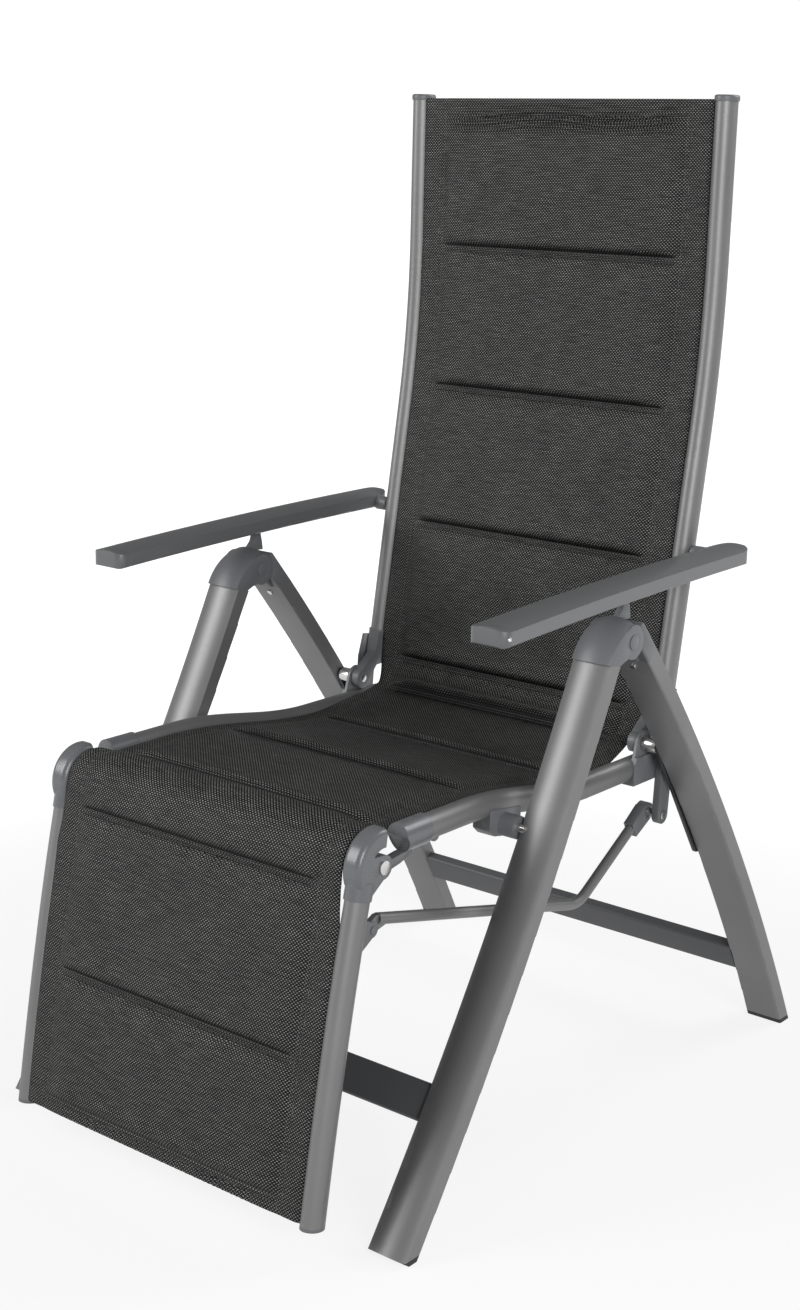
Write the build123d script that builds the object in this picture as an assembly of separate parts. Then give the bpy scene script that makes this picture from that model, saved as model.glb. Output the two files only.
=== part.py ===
from build123d import *
import os
from math import cos, hypot, radians, sin

# Reclining garden armchair with a leg rest. Millimetres, +Z up, the sitter faces -Y and has +X on the left.
# All side outlines are (y, z) pairs; FORE_SHIFT moves the whole chair so its base centre is the origin.

# Driving sizes of the whole chair
FORE_SHIFT = 45.88
OVERALL_WIDTH = 600.0
LEG_WIDTH = 49.5
LEG_SIDE = 20.0
LEG_CROWN = 7.0
LEG_WALL = 2.0
CORNER_RADIUS = 2.5
BACK_TOP = 1170.0
RUN_GAP = 0.5
BORE_GAP = 0.1
LEG_TO_SEAT = 34.5
LEG_TO_BACK = 29.5
TUBE_WIDTH = 24.0
SEAT_TUBE_HEIGHT = 29.0
BACK_TUBE_DEPTH = 32.0
REST_TUBE_DEPTH = 30.0
TUBE_WALL = 1.8

# Pivot places in the side view
TOP_PIVOT = (-47.0, 592.0)
SEAT_PIVOT = (-178.0, 400.0)
BACK_PIVOT = (108.0, 428.0)
LINK_PIVOT = (207.5, 278.5)
POST_HEAD = (-33.0, 636.0)
ARM_PIVOT = (182.0, 650.0)
KNEE_PIVOT = (-384.0, 405.5)
LEVER_PIVOT = (136.0, 334.0)
ROD_PIVOT = (-391.0, 338.0)

# Positions across the chair
LEG_OUT = OVERALL_WIDTH / 2
LEG_IN = LEG_OUT - LEG_WIDTH
LEG_MID = LEG_OUT - LEG_WIDTH / 2
SEAT_X = LEG_IN - LEG_TO_SEAT
BACK_X = LEG_IN - LEG_TO_BACK
SEAT_IN = SEAT_X - TUBE_WIDTH / 2
SEAT_OUT = SEAT_X + TUBE_WIDTH / 2
BACK_IN = BACK_X - TUBE_WIDTH / 2
BACK_OUT = BACK_X + TUBE_WIDTH / 2

# Legs, given by three points of the flat face of each curved D tube
FRONT_LEG_ARC = ((-66.0, 577.5), (-223.6, 278.2), (-409.0, -7.0))
REAR_LEG_ARC = ((-31.0, 583.0), (189.5, 296.3), (373.0, -11.0))
FOOT_HEIGHT = 6.0
FOOT_PLUG = 14.0
FRONT_SEAM = (-84.0, 571.5)
FRONT_SEAM_LEAN = 14.0
REAR_SEAM = (-14.0, 563.0)
REAR_SEAM_LEAN = 40.8
REAR_CAP_LENGTH = 48.0
CROSS_BAR_WIDTH = 42.0
CROSS_BAR_DEPTH = 15.0
CROSS_BAR_ROUND = 4.0
FRONT_BAR_PLACE = (-326.0, 130.0)
FRONT_BAR_LEAN = 32.5
REAR_BAR_PLACE = (323.0, 98.4)
REAR_BAR_LEAN = -29.5

# Top joint between the legs, with the post that carries the armrest
CHEEK_RADIUS = 19.5
CHEEK_THICK = 12.0
TONGUE_RADIUS = 15.5
JOINT_ARCH = ((-94.3, 573.0), (-74.0, 598.6), (-46.0, 610.5))
JOINT_LOWER = ((-47.0, 592.0), (-57.0, 574.5), (-64.0, 573.0), (-74.0, 569.0))
JOINT_CROWN_BASE = 1.5
JOINT_WEDGE = ((-47.0, 592.0), (-74.0, 556.0), (-10.0, 540.0), (0.0, 600.0), (-30.0, 625.0), (-47.0, 625.0))
LEG_TOP_OUTLINE = (
    (-39.0, 611.0), (-27.0, 610.5), (-13.0, 602.0), (3.0, 583.5), (45.0, 527.0), (10.0, 500.0),
    (-23.5, 573.5), (-32.0, 578.5), (-40.0, 592.0),
)
LEG_TOP_NECK = ((-43.0, 580.0), (-14.0, 562.0), (2.0, 575.0), (-36.0, 603.0))
POST_OUTLINE = (
    (-63.0, 607.5), (-47.0, 611.0), (-43.0, 612.5), (-24.0, 612.0), (-25.5, 622.0), (-29.0, 636.0),
    (-37.0, 636.0), (-40.5, 624.0), (-48.0, 616.5), (-58.0, 612.0),
)
POST_THICK = 8.0
POST_HEAD_RADIUS = 5.5
PIN_RADIUS = 6.0
PIN_COVER_RADIUS = 8.5
PIN_COVER_PROUD = 0.8
SCREW_SHARE = 0.055
SCREW_RADIUS = 3.6
SCREW_PROUD = 1.6
SCREW_LENGTH = 9.0
SCREW_LIFT = 0.02

# Seat side tubes
SEAT_FRONT = (-346.0, 425.0)
SEAT_BEND_FRONT = (-240.0, 425.0)
SEAT_BEND_REAR = (0.0, 398.5)
SEAT_REAR = (140.0, 398.5)
SEAT_CAP_LENGTH = 5.0
SEAT_CAP_PLUG = 12.0
SEAT_BAR_RADIUS = 8.0
SEAT_BAR_PLACES = ((-285.0, 413.0), (60.0, 390.5))
SEAT_BRACKET = (
    (-205.0, 398.0), (-196.0, 390.0), (-178.0, 386.5), (-162.0, 388.0), (-148.0, 396.0), (-148.0, 413.0),
    (-205.0, 421.0),
)
SEAT_EYE_RADIUS = 13.0
SEAT_EYE_GAP = 2.5
SEAT_EYE_OUT = LEG_IN - SEAT_EYE_GAP
SEAT_BRACKET_GRIP = 6.0
SEAT_PIN_RADIUS = 5.0
SEAT_PIN_DEPTH = 12.0

# Hinge at the back of the seat
HINGE_DISC_RADIUS = 15.5
HINGE_DISC_THICK = 4.0
HINGE_SET_OUT = 1.0
HINGE_DISC_IN = BACK_X + HINGE_SET_OUT
HINGE_DISC_OUT = HINGE_DISC_IN + HINGE_DISC_THICK
HINGE_FOOT = ((80.0, 392.0), (136.0, 392.0), (128.0, 414.0), (122.5, 434.0), (93.5, 434.0), (88.0, 414.0))
HINGE_SADDLE = ((82.0, 380.5), (134.0, 380.5), (134.0, 402.0), (128.0, 414.0), (88.0, 414.0), (82.0, 402.0))
HINGE_WALL = 1.8
HINGE_SADDLE_OUT = SEAT_OUT + HINGE_WALL
HINGE_CLEAR = ((70.0, 400.0), (150.0, 400.0), (150.0, 420.0), (70.0, 420.0))
AXLE_RADIUS = 5.0
SPACER_RADIUS = 9.0
AXLE_INSET = 0.6
AXLE_OUTSET = 5.0
AXLE_IN = BACK_IN + AXLE_INSET
AXLE_OUT = LEG_IN - AXLE_OUTSET
BACK_HUB_RADIUS = 13.0
BACK_HUB_IN = BACK_IN + RUN_GAP
BACK_HUB_OUT = HINGE_DISC_IN - RUN_GAP
BACK_FLANGE = (
    (104.0, 440.6), (121.0, 427.0), (133.5, 442.0), (163.0, 443.0), (170.0, 482.0), (138.0, 487.0),
    (131.0, 462.0),
)
BACK_SLEEVE_TOP = 486.0
BACK_SLEEVE_WALL = 2.0
LEVER_THICK = 9.0
LEVER_SET_OUT = 10.0
LEVER_IN = BACK_X + LEVER_SET_OUT
LEVER_OUT = LEVER_IN + LEVER_THICK
LEVER_OUTLINE = (
    (125.0, 334.0), (147.0, 334.0), (156.0, 447.0), (160.0, 476.0), (140.0, 479.0), (131.0, 450.0),
)
LEVER_END_RADIUS = 11.0
LEVER_PIN_RADIUS = 4.0
LINK_THICK = 4.0
LINK_OUT = LEG_IN - RUN_GAP
LINK_IN = LINK_OUT - LINK_THICK
LINK_HALF_WIDTH = 8.0
RIVET_RADIUS = 4.5
RIVET_DEPTH = 7.0
RIVET_PROUD = 1.4

# Back side tubes
BACK_FOOT = (149.0, 446.0)
BACK_LEAN = 9.2
BACK_BEND_LOW = 780.0
BACK_BEND_HIGH = 1000.0
BACK_BAR_DROP = 40.0
BACK_BAR_HEIGHTS = (530.0, BACK_TOP - BACK_BAR_DROP)
BACK_BAR_RADIUS = 8.0
BACK_BAR_SET = 3.0
BACK_CAP_HEIGHT = 7.0
BACK_CAP_PLUG = 14.0
BACK_CAP_EXTRA = 1.5

# Knee fitting and leg rest
KNEE_HUB_RADIUS = 13.0
KNEE_HUB_HALF = 5.5
KNEE_NECK = (
    (-384.0, 393.5), (-350.0, 399.5), (-331.0, 405.5), (-331.0, 409.5), (-347.0, 409.5), (-384.0, 404.5),
)
KNEE_SLEEVE_REAR = -306.0
KNEE_SLEEVE_WALL = 2.2
KNEE_SLEEVE_GAP = 42.0
KNEE_PLUG_REAR = -322.0
KNEE_MOUTH_WALL = 2.5
KNEE_DOME_RADIUS = 40.5
KNEE_DOME_INNER = 21.0
KNEE_DOME_OUTLINE = (
    (-384.0, 405.5), (-377.0, 455.0), (-400.0, 460.0), (-440.0, 440.0), (-440.0, 396.0), (-391.0, 386.0),
)
KNEE_EAR_LINK = ((-384.0, 392.6), (-402.0, 380.0), (-408.0, 420.0), (-384.0, 418.4))
KNEE_DOME_ROUND = 7.0
KNEE_COLLAR_START = 0.1
KNEE_COLLAR_EXTRA = 3.0
KNEE_COLLAR_SHARE = 0.6
KNEE_PIN_RADIUS = 5.5
KNEE_PIN_HEAD_RADIUS = 7.5
KNEE_PIN_HEAD_THICK = 1.6
REST_TOP = (-406.0, 398.0)
REST_NECK = (-414.35, 360.93)
REST_END = (-473.3, 40.0)
REST_END_LEAN = 8.8
REST_CAP_LENGTH = 4.0
REST_CAP_PLUG = 12.0
REST_BAR_RADIUS = 7.0
REST_BAR_PLACES = ((-424.5, 300.0), (-462.0, 85.0))
EAR_IN_OFFSET = 4.0
EAR_THICK = 3.0
EAR_RADIUS = 8.5
EAR_OUTLINE = ((-391.0, 346.5), (-412.0, 356.0), (-420.0, 312.0), (-391.0, 329.5))
EAR_RIVET_RADIUS = 4.5
EAR_RIVET_THICK = 1.8

# Rod that ties the leg rest to the back
ROD_SET_IN = 2.5
ROD_X = SEAT_X - ROD_SET_IN
ROD_RADIUS = 6.3
ROD_WALL = 1.5
ROD_LINE = ((-377.0, 345.0), (-2.0, 252.0), (107.0, 318.5))
ROD_BEND = 45.0
ROD_EYE_THICK = 6.0
ROD_EYE_RADIUS = 7.5
ROD_EYE_OUTLINE = ((-391.0, 345.5), (-380.0, 350.5), (-362.0, 345.5), (-364.0, 336.5), (-391.0, 330.5))
ELBOW_THICK = 13.0
ELBOW_IN = ROD_X - ELBOW_THICK / 2
ELBOW_OUT = ELBOW_IN + ELBOW_THICK
ELBOW_OUTLINE = ((127.0, 343.0), (101.0, 325.0), (111.0, 308.0), (143.0, 325.0))
ELBOW_HUB_RADIUS = 11.0
ELBOW_PIN_SPACER = 7.0

# Armrests
ARM_WIDTH = 48.0
ARM_SIDE = 16.0
ARM_CROWN = 4.0
ARM_WALL = 2.2
ARM_MID = OVERALL_WIDTH / 2 - ARM_WIDTH / 2
ARM_ARC = ((-277.0, 627.7), (-20.0, 639.0), (190.0, 643.6))
ARM_PIN_REACH = 9.0
ARM_FRONT_LENGTH = 13.0
ARM_FRONT_CORNER = 12.0
ARM_REAR_LENGTH = 21.0
ARM_REAR_CORNER = 23.0
ARM_CAP_PLUG = 10.0
ARM_CAP_ROUND = 2.0
ARM_HUB_RADIUS = 9.0
ARM_HUB_IN = BACK_OUT + RUN_GAP
ARM_PIN_RADIUS = 4.0
ARM_PIN_HEAD_RADIUS = 7.0
ARM_PIN_HEAD_THICK = 2.0
SLOT_FRONT = -176.0
SLOT_REAR = -8.0
SLOT_WIDTH = 24.0
SLOT_LOW = 620.0
SLOT_HIGH = 646.0
RACK_WALL = 2.0
RACK_FRONT_Z = 631.6
RACK_REAR_Z = 638.4
RACK_HEIGHT = 9.0
RACK_TOOTH = 2.6
RACK_TOOTH_LENGTH = 10.0
RACK_PITCH = 24.0
RACK_TEETH = 6

# Sling pads
FABRIC_THICK = 2.4
PAD_CROWN_FRONT = 4.0
PAD_CROWN_REAR = 2.5
PAD_SIDE_BAND = 27.0
PAD_HALF_WIDTH = SEAT_IN - PAD_SIDE_BAND
PAD_TAPER = 38.0
PAD_SEAM_GAP = 3.0
SHEET_GRIP = 4.0
SEAT_HALF_WIDTH = SEAT_IN + SHEET_GRIP
SEAT_SHEET = (
    (95.0, 417.5), (62.0, 409.5), (20.0, 405.5), (-16.0, 405.5), (-75.0, 411.0), (-135.0, 420.0),
    (-192.0, 427.5), (-250.0, 431.5), (-349.0, 431.5),
)
SEAT_PANELS = (
    ((88.0, 415.8), (-13.0, 405.5)), ((-19.0, 405.8), (-189.0, 427.1)), ((-195.0, 427.9), (-342.0, 431.6)),
)
BACK_SHEET_LOW = (114.0, 425.0)
BACK_SHEET_SET = 10.0
BACK_HEM_DROP = 4.0
BACK_SEAM_DROP = 10.0
BACK_SEAM_HEIGHTS = (456.0, 634.0, 811.0, 987.5, BACK_TOP - BACK_SEAM_DROP)
BACK_HEM = BACK_TOP - BACK_HEM_DROP
BACK_HALF_WIDTH = BACK_IN + SHEET_GRIP
REST_SHEET_SET = 12.5
REST_SEAM_SHARES = (0.03, 0.48, 0.97)
REST_SHEET_SHARES = (0.04, 0.3, 0.55, 0.8, 0.99)
REST_SHEET_GRIP = 6.0
REST_HALF_WIDTH = SEAT_IN + REST_SHEET_GRIP
KNEE_DRUM_RADIUS = 37.5
KNEE_DRUM_REAR = 142.0
KNEE_DRUM_FRONT = -14.0
KNEE_DRUM_STEPS = 7


def at_side(x, place):
    return (x, place[0], place[1])


def outline_face(points):
    return make_face(Plane.YZ * Polyline(*points, close=True))


def slab(points, x_start, x_end):
    return Pos(x_start, 0, 0) * extrude(outline_face(points), amount=x_end - x_start, dir=(1, 0, 0))


def cross_pin(place, radius, x_start, x_end):
    return Pos((x_start + x_end) / 2, place[0], place[1]) * Rot(0, 90, 0) * Cylinder(radius, x_end - x_start)


def side_arc(x, points):
    return ThreePointArc(*[at_side(x, point) for point in points])


def section_plane(path):
    return Plane(origin=path @ 0, x_dir=(1, 0, 0), z_dir=path % 0)


def crowned_face(width, depth, crown, way, wall=0.0):
    # Flat on one side and gently arched on the other, with rounded corners on the flat side
    half = width / 2 - wall
    low = way * wall
    shoulder = way * (depth - wall)
    crest = way * (depth + crown - wall)
    sides = Polyline((-half, shoulder), (-half, low), (half, low), (half, shoulder))
    face = make_face([sides, ThreePointArc((half, shoulder), (0, crest), (-half, shoulder))])
    flat_corners = face.vertices().sort_by(Axis.Y)
    chosen = flat_corners[:2] if way > 0 else flat_corners[-2:]
    return fillet(chosen, CORNER_RADIUS)


def crowned_bar(path, width, depth, crown, way):
    return sweep(section_plane(path) * crowned_face(width, depth, crown, way), path=path)


def crowned_tube(path, width, depth, crown, way, wall):
    hollow = section_plane(path) * crowned_face(width, depth, crown, way, wall)
    return crowned_bar(path, width, depth, crown, way) - sweep(hollow, path=path)


def oval_bar(path, width, depth):
    return sweep(section_plane(path) * Ellipse(width / 2, depth / 2), path=path)


def oval_tube(path, width, depth, wall):
    return oval_bar(path, width, depth) - oval_bar(path, width - 2 * wall, depth - 2 * wall)


def half_space(place, lean, size, above):
    # Big block on one side of a line through place; a lean of zero keeps the line level
    turned = Pos(0, place[0], place[1]) * Rot(lean, 0, 0)
    rise = size / 2 if above else -size / 2
    return turned * Pos(0, 0, rise) * Box(size, size, size)


def below_floor():
    return Pos(0, 0, -OVERALL_WIDTH / 2) * Box(4 * OVERALL_WIDTH, 4 * OVERALL_WIDTH, OVERALL_WIDTH)


def near_floor(height):
    return Pos(0, 0, height / 2) * Box(4 * OVERALL_WIDTH, 4 * OVERALL_WIDTH, height)


def front_leg():
    path = side_arc(LEG_MID, FRONT_LEG_ARC)
    tube = crowned_tube(path, LEG_WIDTH, LEG_SIDE, LEG_CROWN, 1, LEG_WALL)
    tube -= below_floor() + near_floor(FOOT_HEIGHT)
    tube -= half_space(FRONT_SEAM, -FRONT_SEAM_LEAN, OVERALL_WIDTH, True)
    tube -= cross_pin(SEAT_PIVOT, SEAT_PIN_RADIUS, LEG_IN - LEG_WALL, LEG_IN + SEAT_PIN_DEPTH)
    return tube


def rear_leg():
    path = side_arc(LEG_MID, REAR_LEG_ARC)
    tube = crowned_tube(path, LEG_WIDTH, LEG_SIDE, LEG_CROWN, -1, LEG_WALL)
    tube -= below_floor() + near_floor(FOOT_HEIGHT)
    tube -= half_space(REAR_SEAM, REAR_SEAM_LEAN, OVERALL_WIDTH, True)
    tube -= cross_pin(LINK_PIVOT, RIVET_RADIUS, LEG_IN - LEG_WALL, LEG_IN + RIVET_DEPTH)
    tube -= screw_shaft(SCREW_RADIUS / 2)
    return tube


def foot_cap(arc, way):
    # Rubber foot: a full slice of the leg section on the floor with a plug inside the tube
    path = side_arc(LEG_MID, arc)
    slice_full = crowned_bar(path, LEG_WIDTH, LEG_SIDE, LEG_CROWN, way) & near_floor(FOOT_HEIGHT)
    hollow = section_plane(path) * crowned_face(LEG_WIDTH, LEG_SIDE, LEG_CROWN, way, LEG_WALL)
    plug = sweep(hollow, path=path) & near_floor(FOOT_HEIGHT + FOOT_PLUG)
    return slice_full + plug


def cross_bar(place, lean):
    bar = Box(2 * LEG_IN, CROSS_BAR_DEPTH, CROSS_BAR_WIDTH)
    bar = fillet(bar.edges().filter_by(Axis.X), CROSS_BAR_ROUND)
    hollow = Box(2 * LEG_IN, CROSS_BAR_DEPTH - 2 * LEG_WALL, CROSS_BAR_WIDTH - 2 * LEG_WALL)
    return Pos(0, place[0], place[1]) * Rot(-lean, 0, 0) * (bar - hollow)


def joint_crown():
    path = side_arc(LEG_MID, JOINT_ARCH)
    half = LEG_WIDTH / 2
    base = Polyline((half, 0), (half, JOINT_CROWN_BASE), (-half, JOINT_CROWN_BASE), (-half, 0))
    arch = ThreePointArc((-half, 0), (0, -LEG_CROWN), (half, 0))
    return sweep(section_plane(path) * make_face([base, arch]), path=path)


def top_joint():
    # Curved head of the front leg: two cheeks hold the rear leg, and a post stands up for the armrest
    arch = Plane.YZ * ThreePointArc(*JOINT_ARCH)
    lower = Plane.YZ * Polyline(JOINT_ARCH[2], *JOINT_LOWER, JOINT_ARCH[0])
    block = Pos(LEG_IN, 0, 0) * extrude(make_face([arch, lower]), amount=LEG_WIDTH, dir=(1, 0, 0))
    block += joint_crown()
    block += cross_pin(TOP_PIVOT, CHEEK_RADIUS, LEG_IN, LEG_OUT)
    slot_start = LEG_IN + CHEEK_THICK
    slot_end = LEG_OUT - CHEEK_THICK
    block -= cross_pin(TOP_PIVOT, TONGUE_RADIUS + RUN_GAP, slot_start, slot_end)
    block -= slab(JOINT_WEDGE, slot_start, slot_end)
    half = POST_THICK / 2
    block += slab(POST_OUTLINE, LEG_MID - half, LEG_MID + half)
    block += cross_pin(POST_HEAD, POST_HEAD_RADIUS, LEG_MID - half, LEG_MID + half)
    block -= cross_pin(TOP_PIVOT, PIN_RADIUS, LEG_IN, LEG_OUT)
    return block - half_space(FRONT_SEAM, -FRONT_SEAM_LEAN, OVERALL_WIDTH, False)


def rear_leg_top():
    # Cap and tongue of the rear leg; the cap goes on with the section of the leg
    run = radians(REAR_SEAM_LEAN)
    start = (REAR_SEAM[0] - REAR_CAP_LENGTH * sin(run), REAR_SEAM[1] + REAR_CAP_LENGTH * cos(run))
    path = Line(at_side(LEG_MID, start), at_side(LEG_MID, REAR_SEAM))
    cap = crowned_bar(path, LEG_WIDTH, LEG_SIDE, LEG_CROWN, -1) & slab(LEG_TOP_OUTLINE, LEG_IN, LEG_OUT)
    cap -= cross_pin(TOP_PIVOT, CHEEK_RADIUS + RUN_GAP, LEG_IN, LEG_OUT)
    slot_start = LEG_IN + CHEEK_THICK + RUN_GAP
    slot_end = LEG_OUT - CHEEK_THICK - RUN_GAP
    neck = slab(LEG_TOP_NECK, slot_start, slot_end)
    neck -= half_space(REAR_SEAM, REAR_SEAM_LEAN, OVERALL_WIDTH, False)
    cap += neck + cross_pin(TOP_PIVOT, TONGUE_RADIUS, slot_start, slot_end)
    return cap - cross_pin(TOP_PIVOT, PIN_RADIUS + BORE_GAP, LEG_IN, LEG_OUT)


def leg_pivot_pin():
    pin = cross_pin(TOP_PIVOT, PIN_RADIUS, LEG_IN, LEG_OUT)
    pin += cross_pin(TOP_PIVOT, PIN_COVER_RADIUS, LEG_OUT, LEG_OUT + PIN_COVER_PROUD)
    return pin + cross_pin(TOP_PIVOT, PIN_COVER_RADIUS, LEG_IN - PIN_COVER_PROUD, LEG_IN)


def screw_plane():
    # On the flat face of the rear leg, looking out of it
    path = side_arc(LEG_MID, REAR_LEG_ARC)
    run = path % SCREW_SHARE
    return Plane(origin=path @ SCREW_SHARE, x_dir=(1, 0, 0), z_dir=(0, run.Z, -run.Y))


def screw_shaft(radius):
    return screw_plane() * Cylinder(radius, 2 * SCREW_LENGTH)


def rear_leg_screw():
    head = Pos(0, 0, SCREW_PROUD / 2 + SCREW_LIFT) * Cylinder(SCREW_RADIUS, SCREW_PROUD)
    thread = Pos(0, 0, -SCREW_LENGTH / 2 + SCREW_LIFT) * Cylinder(SCREW_RADIUS / 2, SCREW_LENGTH)
    return screw_plane() * head + screw_plane() * thread


def seat_pivot_pin():
    return cross_pin(SEAT_PIVOT, SEAT_PIN_RADIUS, SEAT_OUT + RUN_GAP, LEG_IN + SEAT_PIN_DEPTH)


def seat_path(x):
    front = Line(at_side(x, SEAT_FRONT), at_side(x, SEAT_BEND_FRONT))
    level = (0, 1, 0)
    bend = Spline(at_side(x, SEAT_BEND_FRONT), at_side(x, SEAT_BEND_REAR), tangents=[level, level])
    rear = Line(at_side(x, SEAT_BEND_REAR), at_side(x, SEAT_REAR))
    return Wire([front, bend, rear])


def seat_tube_solid():
    return oval_bar(seat_path(SEAT_X), TUBE_WIDTH, SEAT_TUBE_HEIGHT)


def seat_tube():
    inner = oval_bar(seat_path(SEAT_X), TUBE_WIDTH - 2 * TUBE_WALL, SEAT_TUBE_HEIGHT - 2 * TUBE_WALL)
    return seat_tube_solid() - inner - cross_pin(KNEE_PIVOT, KNEE_SLEEVE_GAP, SEAT_IN, SEAT_OUT)


def round_bar(place, radius, reach, tube):
    bar = cross_pin(place, radius, -reach, reach)
    return bar - tube - mirror(tube, about=Plane.YZ)


def seat_end_cap():
    end = at_side(SEAT_X, SEAT_REAR)
    back = (SEAT_X, SEAT_REAR[0] + SEAT_CAP_LENGTH, SEAT_REAR[1])
    inward = (SEAT_X, SEAT_REAR[0] - SEAT_CAP_PLUG, SEAT_REAR[1])
    cap = oval_bar(Line(end, back), TUBE_WIDTH, SEAT_TUBE_HEIGHT)
    cap = fillet(cap.faces().sort_by(Axis.Y)[-1].edges(), CORNER_RADIUS)
    return cap + oval_bar(Line(inward, end), TUBE_WIDTH - 2 * TUBE_WALL, SEAT_TUBE_HEIGHT - 2 * TUBE_WALL)


def seat_bracket(tube):
    # Saddle under the seat tube with the eye that hangs on the front leg
    saddle = slab(SEAT_BRACKET, SEAT_IN + TUBE_WALL, SEAT_OUT + RUN_GAP)
    eye = cross_pin(SEAT_PIVOT, SEAT_EYE_RADIUS, SEAT_OUT - SEAT_BRACKET_GRIP, SEAT_EYE_OUT)
    return saddle + eye - tube - cross_pin(SEAT_PIVOT, SEAT_PIN_RADIUS + BORE_GAP, SEAT_OUT, SEAT_EYE_OUT)


def seat_hinge(tube):
    # Upright plate with a round head for the back pivot, and a saddle round the seat tube
    plate = slab(HINGE_FOOT, HINGE_DISC_IN, HINGE_DISC_OUT)
    plate += cross_pin(BACK_PIVOT, HINGE_DISC_RADIUS, HINGE_DISC_IN, HINGE_DISC_OUT)
    saddle = slab(HINGE_SADDLE, SEAT_IN + TUBE_WALL, HINGE_SADDLE_OUT)
    saddle -= slab(HINGE_CLEAR, SEAT_IN, HINGE_DISC_IN)
    bore = cross_pin(BACK_PIVOT, AXLE_RADIUS + BORE_GAP, HINGE_DISC_IN, HINGE_DISC_OUT)
    return plate + saddle - tube - bore


def rear_hinge_axle():
    axle = cross_pin(BACK_PIVOT, AXLE_RADIUS, AXLE_IN, HINGE_DISC_OUT + RUN_GAP)
    return axle + cross_pin(BACK_PIVOT, SPACER_RADIUS, HINGE_DISC_OUT + RUN_GAP, AXLE_OUT)


def back_path(x):
    lean = radians(BACK_LEAN)
    low = (BACK_FOOT[0] + (BACK_BEND_LOW - BACK_FOOT[1]) * sin(lean) / cos(lean), BACK_BEND_LOW)
    reach = (BACK_BEND_HIGH - BACK_BEND_LOW) * (1 - cos(lean)) / sin(lean)
    high = (low[0] + reach, BACK_BEND_HIGH)
    straight = Line(at_side(x, BACK_FOOT), at_side(x, low))
    bend = Spline(at_side(x, low), at_side(x, high), tangents=[(0, sin(lean), cos(lean)), (0, 0, 1)])
    upright = Line(at_side(x, high), (x, high[0], BACK_TOP))
    return Wire([straight, bend, upright])


def back_depth(height):
    # Place of the back tube centre at a height, from the same run as the path
    lean = radians(BACK_LEAN)
    slope = sin(lean) / cos(lean)
    if height <= BACK_BEND_LOW:
        return BACK_FOOT[0] + (height - BACK_FOOT[1]) * slope
    run = min(height, BACK_BEND_HIGH) - BACK_BEND_LOW
    turned = 1 - run / (BACK_BEND_HIGH - BACK_BEND_LOW) / 2
    return BACK_FOOT[0] + (BACK_BEND_LOW - BACK_FOOT[1]) * slope + run * slope * turned


def back_tube_solid():
    return oval_bar(back_path(BACK_X), TUBE_WIDTH, BACK_TUBE_DEPTH)


def back_tube():
    inner = oval_bar(back_path(BACK_X), TUBE_WIDTH - 2 * TUBE_WALL, BACK_TUBE_DEPTH - 2 * TUBE_WALL)
    bore = cross_pin(ARM_PIVOT, ARM_PIN_RADIUS + BORE_GAP, BACK_IN, BACK_OUT)
    return back_tube_solid() - inner - bore


def back_end_cap():
    top = back_path(BACK_X) @ 1
    rise = Line(top, (top.X, top.Y, top.Z + BACK_CAP_HEIGHT))
    cap = oval_bar(rise, TUBE_WIDTH + 2 * BACK_CAP_EXTRA, BACK_TUBE_DEPTH + 2 * BACK_CAP_EXTRA)
    cap = fillet(cap.faces().sort_by(Axis.Z)[-1].edges(), CORNER_RADIUS)
    plug = Line((top.X, top.Y, top.Z - BACK_CAP_PLUG), top)
    return cap + oval_bar(plug, TUBE_WIDTH - 2 * TUBE_WALL, BACK_TUBE_DEPTH - 2 * TUBE_WALL)


def back_knuckle(tube):
    # Hinge foot of the back: hub, flange, sleeve round the tube and the lever that works the rod
    low = (BACK_X, BACK_FOOT[0], BACK_FOOT[1])
    high = (BACK_X, back_depth(BACK_SLEEVE_TOP), BACK_SLEEVE_TOP)
    walls = 2 * BACK_SLEEVE_WALL
    sleeve = oval_bar(Line(low, high), TUBE_WIDTH + walls, BACK_TUBE_DEPTH + walls)
    hub = cross_pin(BACK_PIVOT, BACK_HUB_RADIUS, BACK_HUB_IN, BACK_HUB_OUT)
    flange = slab(BACK_FLANGE, BACK_HUB_IN, BACK_HUB_OUT)
    lever = slab(LEVER_OUTLINE, LEVER_IN, LEVER_OUT)
    lever += cross_pin(LEVER_PIVOT, LEVER_END_RADIUS, LEVER_IN, LEVER_OUT)
    body = sleeve + hub + flange + lever - tube
    body -= cross_pin(BACK_PIVOT, AXLE_RADIUS + BORE_GAP, BACK_HUB_IN, BACK_HUB_OUT)
    return body - cross_pin(LEVER_PIVOT, LEVER_PIN_RADIUS + BORE_GAP, LEVER_IN, LEVER_OUT)


def link_bar():
    run = (BACK_PIVOT[0] - LINK_PIVOT[0], BACK_PIVOT[1] - LINK_PIVOT[1])
    length = hypot(*run)
    across = (-run[1] / length * LINK_HALF_WIDTH, run[0] / length * LINK_HALF_WIDTH)
    one_side = [(place[0] + across[0], place[1] + across[1]) for place in (LINK_PIVOT, BACK_PIVOT)]
    other_side = [(place[0] - across[0], place[1] - across[1]) for place in (BACK_PIVOT, LINK_PIVOT)]
    corners = one_side + other_side
    bar = slab(corners, LINK_IN, LINK_OUT) + cross_pin(LINK_PIVOT, LINK_HALF_WIDTH, LINK_IN, LINK_OUT)
    bar += cross_pin(BACK_PIVOT, LINK_HALF_WIDTH, LINK_IN, LINK_OUT)
    return bar - cross_pin(LINK_PIVOT, RIVET_RADIUS - RIVET_PROUD + BORE_GAP, LINK_IN, LINK_OUT)


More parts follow.
